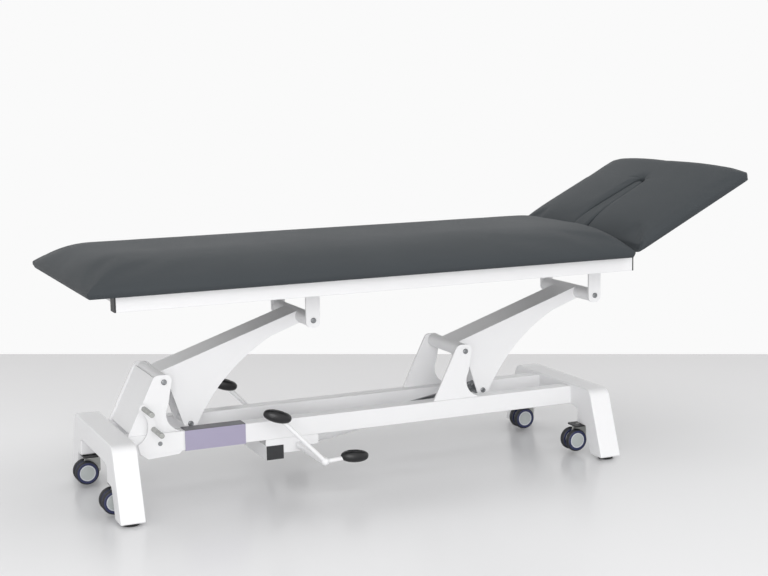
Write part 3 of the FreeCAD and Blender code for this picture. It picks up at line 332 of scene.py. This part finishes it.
# %% Give every CAD node the finish of its slot
def dress_nodes():
    count = 0
    for part in frame["record"]["subparts"]:
        node = nodes[part["node"]]
        node.data.materials.clear()
        node.data.materials.append(finishes[part["material_slot"]])
        smooth(node, 35)
        count += 1
    return count


print(dress_nodes(), "nodes dressed")

# %% [markdown]
# Upholstery
#
# Each pad is foam under one stretched vinyl skin, stapled under a board. Its section is a long soft
# arc: steep at the edge, where the skin turns under, and nearly flat in the middle. A flat grid is
# the right start. Its lines are packed closer where the form turns, the whole grid is extruded into
# rows for the edge, and the top row is then lifted to the crown. A cloth simulation with pressure
# takes the stiffness out of the form, as the foam does under the real skin.

# %% Sizes of the pads
pad_half = 0.350
corner_radius = 0.012
head_corner_radius = 0.026
board_height = 0.012
board_inset = 0.014
board_rim = 0.016
ledge = 0.0004
edge_lip = 0.013
head_lip = 0.018
edge_roll = 0.010
main_height = 0.077
main_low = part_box("main_pad")[0]
main_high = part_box("main_pad")[1]
side_arc = 0.245
foot_arc = 0.135
hinge_arc = 0.070
head_height = 0.052
head_side_arc = 0.270
tip_arc = 0.048
swell_room = 0.002
edge_rows = 4
grid_step = 0.014
skin_pressure = 4.0
main_swell = 0.005
head_swell = 0.004
print("main pad", [round(v, 4) for v in main_low], [round(v, 4) for v in main_high])


# %% Heights of a crowned pad
def arc_share(inward, length):
    """Share of the full height at a distance in from the pad's edge, along an elliptic arc."""
    short = 1 - min(max(inward, 0.0) / length, 1.0)
    return sqrt(1 - short * short)


def crown(top, *arcs, lip=edge_lip):
    """Height over the pad's underside; each arc is (distance in from an edge, its length)."""
    share = 1.0
    for inward, length in arcs:
        share *= arc_share(inward, length)
    return lip + (top - lip) * share


def rolled(level, inward):
    """How far the skin turns in at a row of the edge, less and less towards the board."""
    height = min(level * edge_lip / edge_roll, 1.0)
    turn = edge_roll * (1 - sqrt(1 - (1 - height) ** 2))
    return turn * max(1 - inward / board_inset, 0.0)


def rounded_plan(x, y, x0, x1, half, radius=corner_radius):
    """Pull a grid point near a plan corner onto the corner's arc."""
    middle, reach = (x0 + x1) / 2, (x1 - x0) / 2
    u = (abs(x - middle) - reach + radius) / radius
    v = (abs(y) - half + radius) / radius
    if u <= 0 or v <= 0:
        return x, y
    su = 1 if x > middle else -1
    sv = 1 if y > 0 else -1
    u, v = u * sqrt(1 - v * v / 2), v * sqrt(1 - u * u / 2)
    return (middle + su * (reach - radius + u * radius), sv * (half - radius + v * radius))


print("crown 100 mm in", round(crown(main_height, (0.1, side_arc)), 4))


# %% Grid lines, close together at both ends
def packed_lines(low, high, step):
    edge = [0.0, 0.0008, 0.0024, 0.005, 0.009, 0.014, 0.021, 0.030]
    inner_low, inner_high = low + edge[-1], high - edge[-1]
    count = max(1, round((inner_high - inner_low) / step))
    middle = [inner_low + (inner_high - inner_low) * i / count for i in range(1, count)]
    return [low + e for e in edge] + middle + [high - e for e in reversed(edge)]


def grid_sheet(name, along, across):
    """Flat grid with its lines at the given places."""
    pick_only(None)
    bpy.ops.mesh.primitive_grid_add(x_subdivisions=len(along) - 1,
                                    y_subdivisions=len(across) - 1, size=2)
    sheet = bpy.context.object
    sheet.name = name
    for vertex in sheet.data.vertices:
        i = round((vertex.co.x + 1) / 2 * (len(along) - 1))
        j = round((vertex.co.y + 1) / 2 * (len(across) - 1))
        vertex.co = (along[i], across[j], 0)
    return sheet


def extrude_rows(sheet, rows):
    """Extrude the whole sheet upwards, one unit for each row of its edge."""
    pick_only(sheet)
    bpy.ops.object.mode_set(mode="EDIT")
    bpy.ops.mesh.select_all(action="SELECT")
    for _ in range(rows):
        bpy.ops.mesh.extrude_region_move(TRANSFORM_OT_translate={"value": (0, 0, 1)})
    leave_edit()


# %% Inflate a skin
def inflate(pad, stapled, pressure, cap, low_limit):
    """Cloth with pressure, fastened where stapled() says; no point moves further than cap."""
    start = [vertex.co.copy() for vertex in pad.data.vertices]
    group = pad.vertex_groups.new(name="stapled")
    group.add([v.index for v in pad.data.vertices if stapled(v.co)], 1.0, "REPLACE")
    cloth = pad.modifiers.new("skin", "CLOTH")
    settings = cloth.settings
    settings.quality = 6
    settings.mass = 0.4
    settings.tension_stiffness = 30
    settings.compression_stiffness = 30
    settings.shear_stiffness = 12
    settings.bending_stiffness = 4
    settings.use_pressure = True
    settings.uniform_pressure_force = pressure
    settings.effector_weights.gravity = 0
    settings.vertex_group_mass = "stapled"
    last_frame = 20
    cloth.point_cache.frame_start = 1
    cloth.point_cache.frame_end = last_frame
    for number in range(1, last_frame + 1):
        bpy.context.scene.frame_set(number)
    apply_modifier(pad, cloth)
    bpy.context.scene.frame_set(1)
    moved = 0.0
    for vertex, before in zip(pad.data.vertices, start):
        step = vertex.co - before
        if step.length > cap:
            step = step * (cap / step.length)
        vertex.co = before + step
        vertex.co.z = max(vertex.co.z, low_limit)
        moved = max(moved, step.length)
    pad.vertex_groups.clear()
    return moved


def round_off(pad):
    """One round of subdivision and smooth shading."""
    subdivision = pad.modifiers.new("round", "SUBSURF")
    subdivision.levels = 1
    subdivision.render_levels = 1
    apply_modifier(pad, subdivision)
    pick_only(pad)
    bpy.ops.object.shade_smooth()


# %% Main pad
def build_main_pad():
    x0, x1 = main_low.x + swell_room, main_high.x
    half = pad_half - swell_room
    pad = grid_sheet("main_cushion", packed_lines(x0, x1, grid_step),
                     packed_lines(-half, half, grid_step))
    extrude_rows(pad, edge_rows)
    middle = (x0 + x1) / 2
    for vertex in pad.data.vertices:
        level = vertex.co.z / edge_rows
        x, y = rounded_plan(vertex.co.x, vertex.co.y, x0, x1, half)
        height = crown(main_height, (half - abs(y), side_arc), (x - x0, foot_arc),
                       (x1 - x, hinge_arc))
        inward = min(x - x0, x1 - x, half - abs(y))
        low = board_height + ledge if level == 0 and inward > board_rim else 0.0
        turn = rolled(level, inward)
        x = middle + (x - middle) * (1 - turn / (x1 - middle))
        y *= 1 - turn / half
        vertex.co = (x, y, main_low.z + (level * height if level else low))
    return pad


def main_stapled(co):
    """The underside's rim, and the skin's inner face on the board."""
    on_board = abs(co.z - main_low.z - board_height - ledge) < 0.0003
    inside_rim = abs(co.y) < pad_half - board_rim and co.x < main_high.x - board_rim
    return co.z < main_low.z + 0.001 or (on_board and inside_rim)


main_pad = build_main_pad()
settle(main_pad)
main_moved = inflate(main_pad, main_stapled, skin_pressure, main_swell, main_low.z)
round_off(main_pad)
main_pad.data.materials.append(finishes["upholstery"])
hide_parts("main_pad")
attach(main_pad, "top_frame")
print("main cushion moved", round(main_moved * 1000, 1), "mm,",
      len(main_pad.data.polygons), "faces")

# %% [markdown]
# Head pad
#
# The head section is the same kind of pad with an open slot for the face, closed by a loose plug.
# It is built flat, in the section's own axes from the hinge, because the grid then lines up with
# the slot; the finished pad is turned to the rest tilt at the end. The slot is made by letting the
# grid's columns follow its two sides and deleting the faces between them.

# %% Sizes of the head section
hinge_joint = next(j for j in frame["joints"] if j["name"] == "head_tilt")
hinge_place = Vector(hinge_joint["pos_m"])
rest_tilt = radians(26.7)
face_lean = radians(35.0)
face_offset = -0.002
head_rise = 0.027
head_start, head_end = 0.012, 0.443
head_hinge_arc = 0.130
slot_half_wide, slot_half_tip = 0.039, 0.021
slot_end = head_start + 0.285
slot_closing = 0.006
slot_fade = 0.06
slot_roll = 0.011
slot_dip = 0.0035
tip_turn = 0.06
plug_play = 0.0015
plug_sink = 0.0035
plug_start = 0.0380
plug_lift = 0.001
head_turn = Matrix.Translation(hinge_place) @ Matrix.Rotation(-rest_tilt, 4, "Y")
print("hinge at", [round(v, 4) for v in hinge_place])


# %% The slot's half width and the sloping hinge face
def slot_half(u):
    """Half width of the slot: a taper with a rounded end, and how its columns close behind it."""
    turn = slot_end - slot_half_tip
    share = min(max((u - head_start) / (slot_end - head_start), 0.0), 1.0)
    taper = slot_half_wide + (slot_half_tip - slot_half_wide) * share
    if u <= turn:
        return taper
    if u <= slot_end:
        return max(sqrt(max(slot_half_tip ** 2 - (u - turn) ** 2, 0.0)), slot_closing)
    return slot_closing + (slot_half_tip - slot_closing) * min((u - slot_end) / slot_fade, 1.0)


def hinge_face(v):
    """Start of the head pad at height v above the hinge line."""
    return (face_offset + v * sin(face_lean)) / cos(face_lean)


def head_lines():
    """Grid lines from the hinge to the tip, close together round the slot's end."""
    near_tip = [slot_end - slot_half_tip + slot_half_tip * sin(pi / 2 * i / 6) for i in range(7)]
    first = [e for e in packed_lines(head_start, near_tip[0] + 0.026, 0.013)
             if e < near_tip[0] - 0.004]
    last = [e for e in packed_lines(slot_end - 0.026, head_end, 0.013) if e > slot_end + 0.004]
    return first + near_tip + last


print("slot half width at the hinge", slot_half(head_start))


# %% Head pad, flat
def head_crown(u, y):
    """Height of the head pad over its underside."""
    return crown(head_height, (pad_half - swell_room - abs(y), head_side_arc),
                 (head_end - swell_room - u, tip_arc), (u - head_start, head_hinge_arc),
                 lip=head_lip)


def build_head_pad():
    half = pad_half - swell_room
    inner = [-1.0, -0.5, 0.0, 0.5, 1.0]
    outer = packed_lines(0.0, half - slot_half_wide, grid_step)[1:]
    across = [-slot_half_wide - y for y in reversed(outer)]
    across += [t * slot_half_wide for t in inner] + [slot_half_wide + y for y in outer]
    pad = grid_sheet("head_cushion", head_lines(), across)
    select_faces(pad, lambda f: abs(f.center.y) < slot_half_wide and f.center.x < slot_end)
    bpy.ops.mesh.delete(type="FACE")
    leave_edit()
    extrude_rows(pad, edge_rows)
    low_start = hinge_face(head_rise)
    for vertex in pad.data.vertices:
        level = vertex.co.z / edge_rows
        u, y = vertex.co.x, vertex.co.y
        width = slot_half(u)
        if abs(y) <= slot_half_wide + 1e-6:
            y = y * width / slot_half_wide
        else:
            share = (abs(y) - slot_half_wide) / (half - slot_half_wide)
            y = (width + (half - width) * share) * (1 if y > 0 else -1)
        u, y = rounded_plan(u, y, head_start, head_end - swell_room, half, head_corner_radius)
        height = head_crown(u, y)
        slot_inward = abs(y) - slot_half(u)
        if u < slot_end + slot_roll and slot_inward < slot_roll:
            height -= slot_dip * (1 - max(slot_inward, 0.0) / slot_roll) ** 2
        inward = min(head_end - swell_room - u, half - abs(y))
        turn = rolled(level, inward)
        inward = min(inward, u - head_start)
        if u < slot_end + board_rim:
            inward = min(inward, slot_inward)
        low = board_height + ledge if level == 0 and inward > board_rim else 0.0
        v = head_rise + (level * height if level else low)
        u -= turn * max(u - head_end + tip_turn, 0.0) / tip_turn
        y *= 1 - turn / half
        start = max(hinge_face(v), low_start)
        u = start + (u - head_start) * (head_end - start) / (head_end - head_start)
        vertex.co = (u, y, v)
    return pad


def head_stapled(co):
    """The underside's rim, and the skin's inner face on the board."""
    up = co.z - head_rise
    return up < 0.0005 or abs(up - board_height) < 0.0006


head_pad = build_head_pad()
settle(head_pad)
head_moved = inflate(head_pad, head_stapled, skin_pressure, head_swell, head_rise)
round_off(head_pad)
for vertex in head_pad.data.vertices:
    vertex.co.x = max(vertex.co.x, hinge_face(vertex.co.z))
head_pad.data.transform(head_turn)
head_pad.data.materials.append(finishes["upholstery"])
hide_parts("head_pad")
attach(head_pad, "head_section")
print("head cushion moved", round(head_moved * 1000, 1), "mm,",
      len(head_pad.data.polygons), "faces")


# %% Face plug, a small cushion of the slot's shape
def build_plug():
    lines = [u for u in head_lines() if u <= slot_end + 1e-6]
    lines[-1] = slot_end - plug_play
    across = [-1.0, -0.92, -0.78, -0.55, -0.28, 0.0, 0.28, 0.55, 0.78, 0.92, 1.0]
    plug = grid_sheet("face_slot_plug", lines, across)
    extrude_rows(plug, edge_rows)
    for vertex in plug.data.vertices:
        level = vertex.co.z / edge_rows
        u, t = vertex.co.x, vertex.co.y
        y = t * (slot_half(u) - plug_play)
        edge = min(slot_half(u) * (1 - abs(t)), slot_end - u)
        place = plug_start + ((u - head_start) * (slot_end - plug_start)
                              / (slot_end - head_start))
        height = head_crown(place, y) - plug_sink
        height -= slot_dip * (1 - min(edge / slot_roll, 1.0)) ** 2
        v = head_rise + plug_lift + level * (height - plug_lift)
        vertex.co = (place, t * (slot_half(place) - plug_play), v)
    return plug


plug = build_plug()
settle(plug)
round_off(plug)
plug.data.transform(head_turn)
plug.data.materials.append(finishes["upholstery"])
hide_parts("face_plug")
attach(plug, "face_plug")
print("plug", len(plug.data.polygons), "faces")

# %% [markdown]
# Caster wheels
#
# Each wheel is a navy tyre with a nearly black tread round a pale grey disc. The discs are turned
# parts of the CAD model and only need their finish. The tyre's soft shoulders are made here: a
# turned form is best made by spinning its section once round the axle, and each of the eight wheels
# gets its own copy of that one tyre.

# %% Wheel sizes
wheel_radius = 0.0325
wheel_wide = 0.018
twin_gap = 0.012
disc_radius = 0.022
disc_rim = 0.0032
tread_edge = 0.0040
spin_steps = 72
places = ("foot_near", "foot_far", "head_near", "head_far")


def spun(name, section):
    """Closed section of (radius, y) points, spun about the Y axis at the origin."""
    pick_only(None)
    bpy.ops.mesh.primitive_circle_add(vertices=len(section), radius=1)
    piece = bpy.context.object
    piece.name = name
    for vertex, (radius, y) in zip(piece.data.vertices, section):
        vertex.co = (radius, y, 0)
    bpy.ops.object.mode_set(mode="EDIT")
    bpy.ops.mesh.select_all(action="SELECT")
    bpy.ops.mesh.spin(steps=spin_steps, angle=2 * pi, center=(0, 0, 0), axis=(0, 1, 0))
    leave_edit()
    settle(piece)
    smooth(piece, 50)
    return piece


# %% One tyre
def tyre_section():
    r, w = wheel_radius, wheel_wide / 2
    right = [(disc_radius, w - 0.0012), (disc_radius + 0.0016, w - 0.0002), (r - 0.0062, w),
             (r - 0.0028, w - 0.0012), (r - 0.0008, w - 0.0036), (r, w - 0.006),
             (r, 0.0018), (r - 0.0008, 0.0012)]
    left = [(radius, -y) for radius, y in reversed(right)]
    return right + left


tyre_model = spun("tyre_model", tyre_section())
print("tyre", len(tyre_model.data.polygons), "faces")


# %% [markdown]
# The tread is nearly black and the side of the tyre navy, and the disc has a paler rim. Both
# changes follow the radius, so the material measures the distance from the axle in Object
# coordinates, after a Mapping node has moved the pattern to that wheel.


# %% Materials whose colour follows the radius
def ringed(name, base, centre, inner_colour, outer_colour, radius):
    """Copy of a finish with one colour inside the radius and another outside."""
    material = base.copy()
    material.name = name
    tree = material.node_tree
    shader = tree.nodes["Principled BSDF"]
    place = tree.nodes.new("ShaderNodeTexCoord")
    shift = tree.nodes.new("ShaderNodeMapping")
    shift.inputs["Location"].default_value = (-centre.x, 0, -centre.z)
    shift.inputs["Scale"].default_value = (1, 0, 1)
    distance = tree.nodes.new("ShaderNodeVectorMath")
    distance.operation = "LENGTH"
    step = tree.nodes.new("ShaderNodeMapRange")
    step.inputs["From Min"].default_value = radius - 0.0003
    step.inputs["From Max"].default_value = radius + 0.0003
    mix = tree.nodes.new("ShaderNodeMix")
    mix.data_type = "RGBA"
    mix.inputs["B"].default_value = outer_colour
    tint = shader.inputs["Base Color"].links[0].from_node
    tint.inputs["Color"].default_value = inner_colour
    tree.links.new(place.outputs["Object"], shift.inputs["Vector"])
    tree.links.new(shift.outputs["Vector"], distance.inputs[0])
    tree.links.new(distance.outputs["Value"], step.inputs["Value"])
    tree.links.new(step.outputs["Result"], mix.inputs["Factor"])
    tree.links.new(tint.outputs["Color"], mix.inputs["A"])
    tree.links.new(mix.outputs["Result"], shader.inputs["Base Color"])
    return material


# %% Eight wheels
def set_wheels(place):
    """Two tyres and the disc finish for one caster."""
    low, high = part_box("caster_tyres_" + place)
    centre = (low + high) / 2
    tread = ringed("tyre_" + place, finishes["tyre"], centre, screen(38, 44, 82),
                   screen(36, 37, 42), wheel_radius - tread_edge)
    disc = ringed("disc_" + place, finishes["hub"], centre, screen(181, 186, 185),
                  screen(205, 208, 212), disc_radius - disc_rim)
    for side, label in ((-1, "near"), (1, "far")):
        tyre = tyre_model.copy()
        tyre.data = tyre_model.data.copy()
        tyre.name = f"tyre_{place}_{label}"
        bpy.context.scene.collection.objects.link(tyre)
        tyre.data.transform(Matrix.Translation(
            centre + Vector((0, side * (twin_gap + wheel_wide) / 2, 0))))
        tyre.data.materials.append(tread)
        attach(tyre, "wheels_" + place)
        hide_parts("caster_tyres_" + place)
    hub = nodes["caster_hubs_" + place]
    hub.data.materials.clear()
    hub.data.materials.append(disc)


for place in places:
    set_wheels(place)
bpy.data.objects.remove(tyre_model)
print("wheels on", len(places), "casters")

# %% [markdown]
# Pedals
#
# The pedal pads are black rubber ovals with a rounded rim and a long hollow on top where the foot
# rests. Each is a sphere drawn out to an oval, with its top faces inset and pressed in, and one
# round of subdivision for the soft edge.


# %% One pedal pad
def build_pedal(name, centre, length, wide, high, lean):
    pick_only(None)
    bpy.ops.mesh.primitive_uv_sphere_add(segments=32, ring_count=18, radius=0.5)
    pad = bpy.context.object
    pad.name = name
    for vertex in pad.data.vertices:
        x, y, z = vertex.co
        flat = abs(z * 2) ** pedal_flatness * (0.5 if z > 0 else -0.5)
        vertex.co = (x * length, y * wide, flat * high)
    select_faces(pad, lambda f: f.normal.z > 0.8 and
                 (f.center.x / (length * 0.33)) ** 2 + (f.center.y / (wide * 0.25)) ** 2 < 1)
    bpy.ops.mesh.inset(thickness=0.0022, depth=-0.0008)
    bpy.ops.mesh.inset(thickness=0.0018, depth=-0.0035)
    leave_edit()
    round_off(pad)
    pad.data.transform(Matrix.Translation(centre) @ Matrix.Rotation(radians(lean), 4, "Y"))
    pad.data.materials.append(finishes["pedal_rubber"])
    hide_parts("pedal_pads")
    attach(pad, "pump_pedals")


pedal_flatness = 0.8
pedal_hub = Vector((-0.3158, 0.225, 0.089))
pedal_arms = (("rear", 0.189, 133.6, 18.0), ("front", 0.0846, 3.4, 5.0))
pedal_length, pedal_wide, pedal_high = 0.080, 0.042, 0.034
for side, label in ((-1, "near"), (1, "far")):
    for end, reach, angle, lean in pedal_arms:
        spot = Vector((pedal_hub.x + reach * cos(radians(angle)), side * pedal_hub.y,
                       pedal_hub.z + reach * sin(radians(angle))))
        build_pedal(f"pedal_{end}_{label}", spot, pedal_length, pedal_wide, pedal_high, lean)
print("four pedal pads")

# %% [markdown]
# Camera
#
# The camera repeats the photograph's own view: it was solved from the edges of the base and the
# pads, and stands about 4 metres away on the foot side, looking slightly down.

# %% Camera
view_azimuth, view_elevation, view_roll = -0.4152, 0.1469, -0.017
camera_place = Vector((-1.6960, -3.7603, 1.1116))
focal_pixels = 1473.305
image_width, image_height = 768, 576
back = Vector((sin(view_azimuth) * cos(view_elevation),
               -cos(view_azimuth) * cos(view_elevation), sin(view_elevation)))
right = (-back).cross(Vector((0, 0, 1))).normalized()
up = right.cross(-back)
right, up = (cos(view_roll) * right + sin(view_roll) * up,
             -sin(view_roll) * right + cos(view_roll) * up)
camera_data = bpy.data.cameras.new("view")
camera_data.sensor_width = 36.0
camera_data.lens = focal_pixels * camera_data.sensor_width / image_width
camera = bpy.data.objects.new("view", camera_data)
camera.matrix_world = Matrix.Translation(camera_place) @ Matrix(
    (right, up, back)).transposed().to_4x4()
bpy.context.scene.collection.objects.link(camera)
bpy.context.scene.camera = camera
print("lens", round(camera_data.lens, 2), "mm")


# %% [markdown]
# Studio
#
# A pale floor ends in a straight line behind the couch, with a white backdrop beyond it. The line
# is where two rays through the picture's left and right edge meet the floor. The floor's colour
# holds painted light: it is darker towards the far line and rises quickly towards the couch, which
# thins the couch's shadow on it. The world gives an even light, a broad lamp in front lifts the
# faces that look at it, and a weak one overhead adds the soft shadow on the floor.

# %% Where a pixel of the picture meets the floor
def floor_point(u, v):
    """Point of the floor seen at a pixel, counted from the picture's upper left corner."""
    ray = (right * (u - image_width / 2) - up * (v - image_height / 2) - back * focal_pixels)
    return camera_place + ray * (-camera_place.z / ray.z)


floor_line = 354
far_left, far_right = floor_point(0, floor_line), floor_point(image_width, floor_line)
line = (far_right - far_left).normalized()
toward = Vector((line.y, -line.x, 0))
if toward.dot(camera_place - far_left) < 0:
    toward = -toward
print("floor ends at", [round(v, 2) for v in far_left], [round(v, 2) for v in far_right])


# %% Floor
floor_drop = -0.0002
# Depth of the floor's painted light ramp, from its far line towards the camera.
painted_light_depth = 2.9


def build_floor():
    """Plane from the far line to well behind the camera."""
    pick_only(None)
    bpy.ops.mesh.primitive_plane_add(size=2)
    floor = bpy.context.object
    floor.name = "studio_floor"
    spread, depth = 14.0, 16.0
    middle = (far_left + far_right) / 2
    corners = [middle - line * spread, middle + line * spread,
               middle + line * spread + toward * depth, middle - line * spread + toward * depth]
    order = sorted(floor.data.vertices,
                   key=lambda w: (w.co.y < 0, w.co.x * (1 if w.co.y > 0 else -1)))
    for vertex, corner in zip(order, corners):
        vertex.co = (corner.x, corner.y, floor_drop)
    settle(floor)
    return floor


def floor_painted_light():
    """Pale floor with painted light: darker towards its far line, and lifted quickly towards the
    couch, which thins the couch's shadow on the floor.
    """
    material = bpy.data.materials.new("studio_floor")
    material.use_nodes = True
    tree = material.node_tree
    shader = tree.nodes["Principled BSDF"]
    place = tree.nodes.new("ShaderNodeTexCoord")
    along = tree.nodes.new("ShaderNodeVectorMath")
    along.operation = "DOT_PRODUCT"
    along.inputs[1].default_value = toward
    band = tree.nodes.new("ShaderNodeMapRange")
    start = far_left.dot(toward)
    band.inputs["From Min"].default_value = start
    band.inputs["From Max"].default_value = start + painted_light_depth
    ramp = tree.nodes.new("ShaderNodeValToRGB")
    # Painted light: the floor is darker at its far line, and the stop under the couch is raised to thin the
    # couch's shadow.
    painted_light_stops = ((0.0, screen(207, 206, 207)), (0.45, screen(227, 227, 228)),
             (1.0, screen(232, 232, 233)))
    ramp.color_ramp.elements[0].position, ramp.color_ramp.elements[0].color = painted_light_stops[0]
    ramp.color_ramp.elements[1].position, ramp.color_ramp.elements[1].color = painted_light_stops[2]
    extra = ramp.color_ramp.elements.new(painted_light_stops[1][0])
    extra.color = painted_light_stops[1][1]
    tree.links.new(place.outputs["Object"], along.inputs[0])
    tree.links.new(along.outputs["Value"], band.inputs["Value"])
    tree.links.new(band.outputs["Result"], ramp.inputs["Fac"])
    tree.links.new(ramp.outputs["Color"], shader.inputs["Base Color"])
    shader.inputs["Roughness"].default_value = 0.22
    shader.inputs["Specular IOR Level"].default_value = 0.22
    return material


floor = build_floor()
floor.data.materials.append(floor_painted_light())
print("floor laid")


# %% World: even light, and a plain white backdrop for the camera and for reflections
def light_world():
    world = bpy.data.worlds.new("studio")
    bpy.context.scene.world = world
    world.use_nodes = True
    tree = world.node_tree
    light = tree.nodes["Background"]
    light.inputs["Color"].default_value = (1.0, 1.0, 1.0, 1)
    light.inputs["Strength"].default_value = 0.84
    plain = tree.nodes.new("ShaderNodeBackground")
    plain.inputs["Color"].default_value = screen(250, 250, 250)
    plain.inputs["Strength"].default_value = 1.0
    path = tree.nodes.new("ShaderNodeLightPath")
    first = tree.nodes.new("ShaderNodeMath")
    first.operation = "MAXIMUM"
    second = tree.nodes.new("ShaderNodeMath")
    second.operation = "MAXIMUM"
    mix = tree.nodes.new("ShaderNodeMixShader")
    tree.links.new(path.outputs["Is Camera Ray"], first.inputs[0])
    tree.links.new(path.outputs["Is Glossy Ray"], first.inputs[1])
    tree.links.new(first.outputs["Value"], second.inputs[0])
    tree.links.new(path.outputs["Is Transmission Ray"], second.inputs[1])
    tree.links.new(second.outputs["Value"], mix.inputs["Fac"])
    tree.links.new(light.outputs["Background"], mix.inputs[1])
    tree.links.new(plain.outputs["Background"], mix.inputs[2])
    tree.links.new(mix.outputs["Shader"], tree.nodes["World Output"].inputs["Surface"])


light_world()


# %% Lamps
def add_lamp(name, place, target, size, power):
    data = bpy.data.lights.new(name, "AREA")
    data.shape = "DISK"
    data.size = size
    data.energy = power
    lamp = bpy.data.objects.new(name, data)
    aim = (Vector(target) - Vector(place)).to_track_quat("-Z", "Y")
    lamp.matrix_world = Matrix.Translation(place) @ aim.to_matrix().to_4x4()
    bpy.context.scene.collection.objects.link(lamp)


add_lamp("broad_front", (-1.8, -5.5, 1.4), (0.0, 0.0, 0.3), 4.0, 150)
add_lamp("soft_top", (0.6, -0.6, 4.2), (0.0, 0.0, 0.3), 3.0, 20)
bpy.context.scene.view_settings.view_transform = "Standard"
print("lamps set")
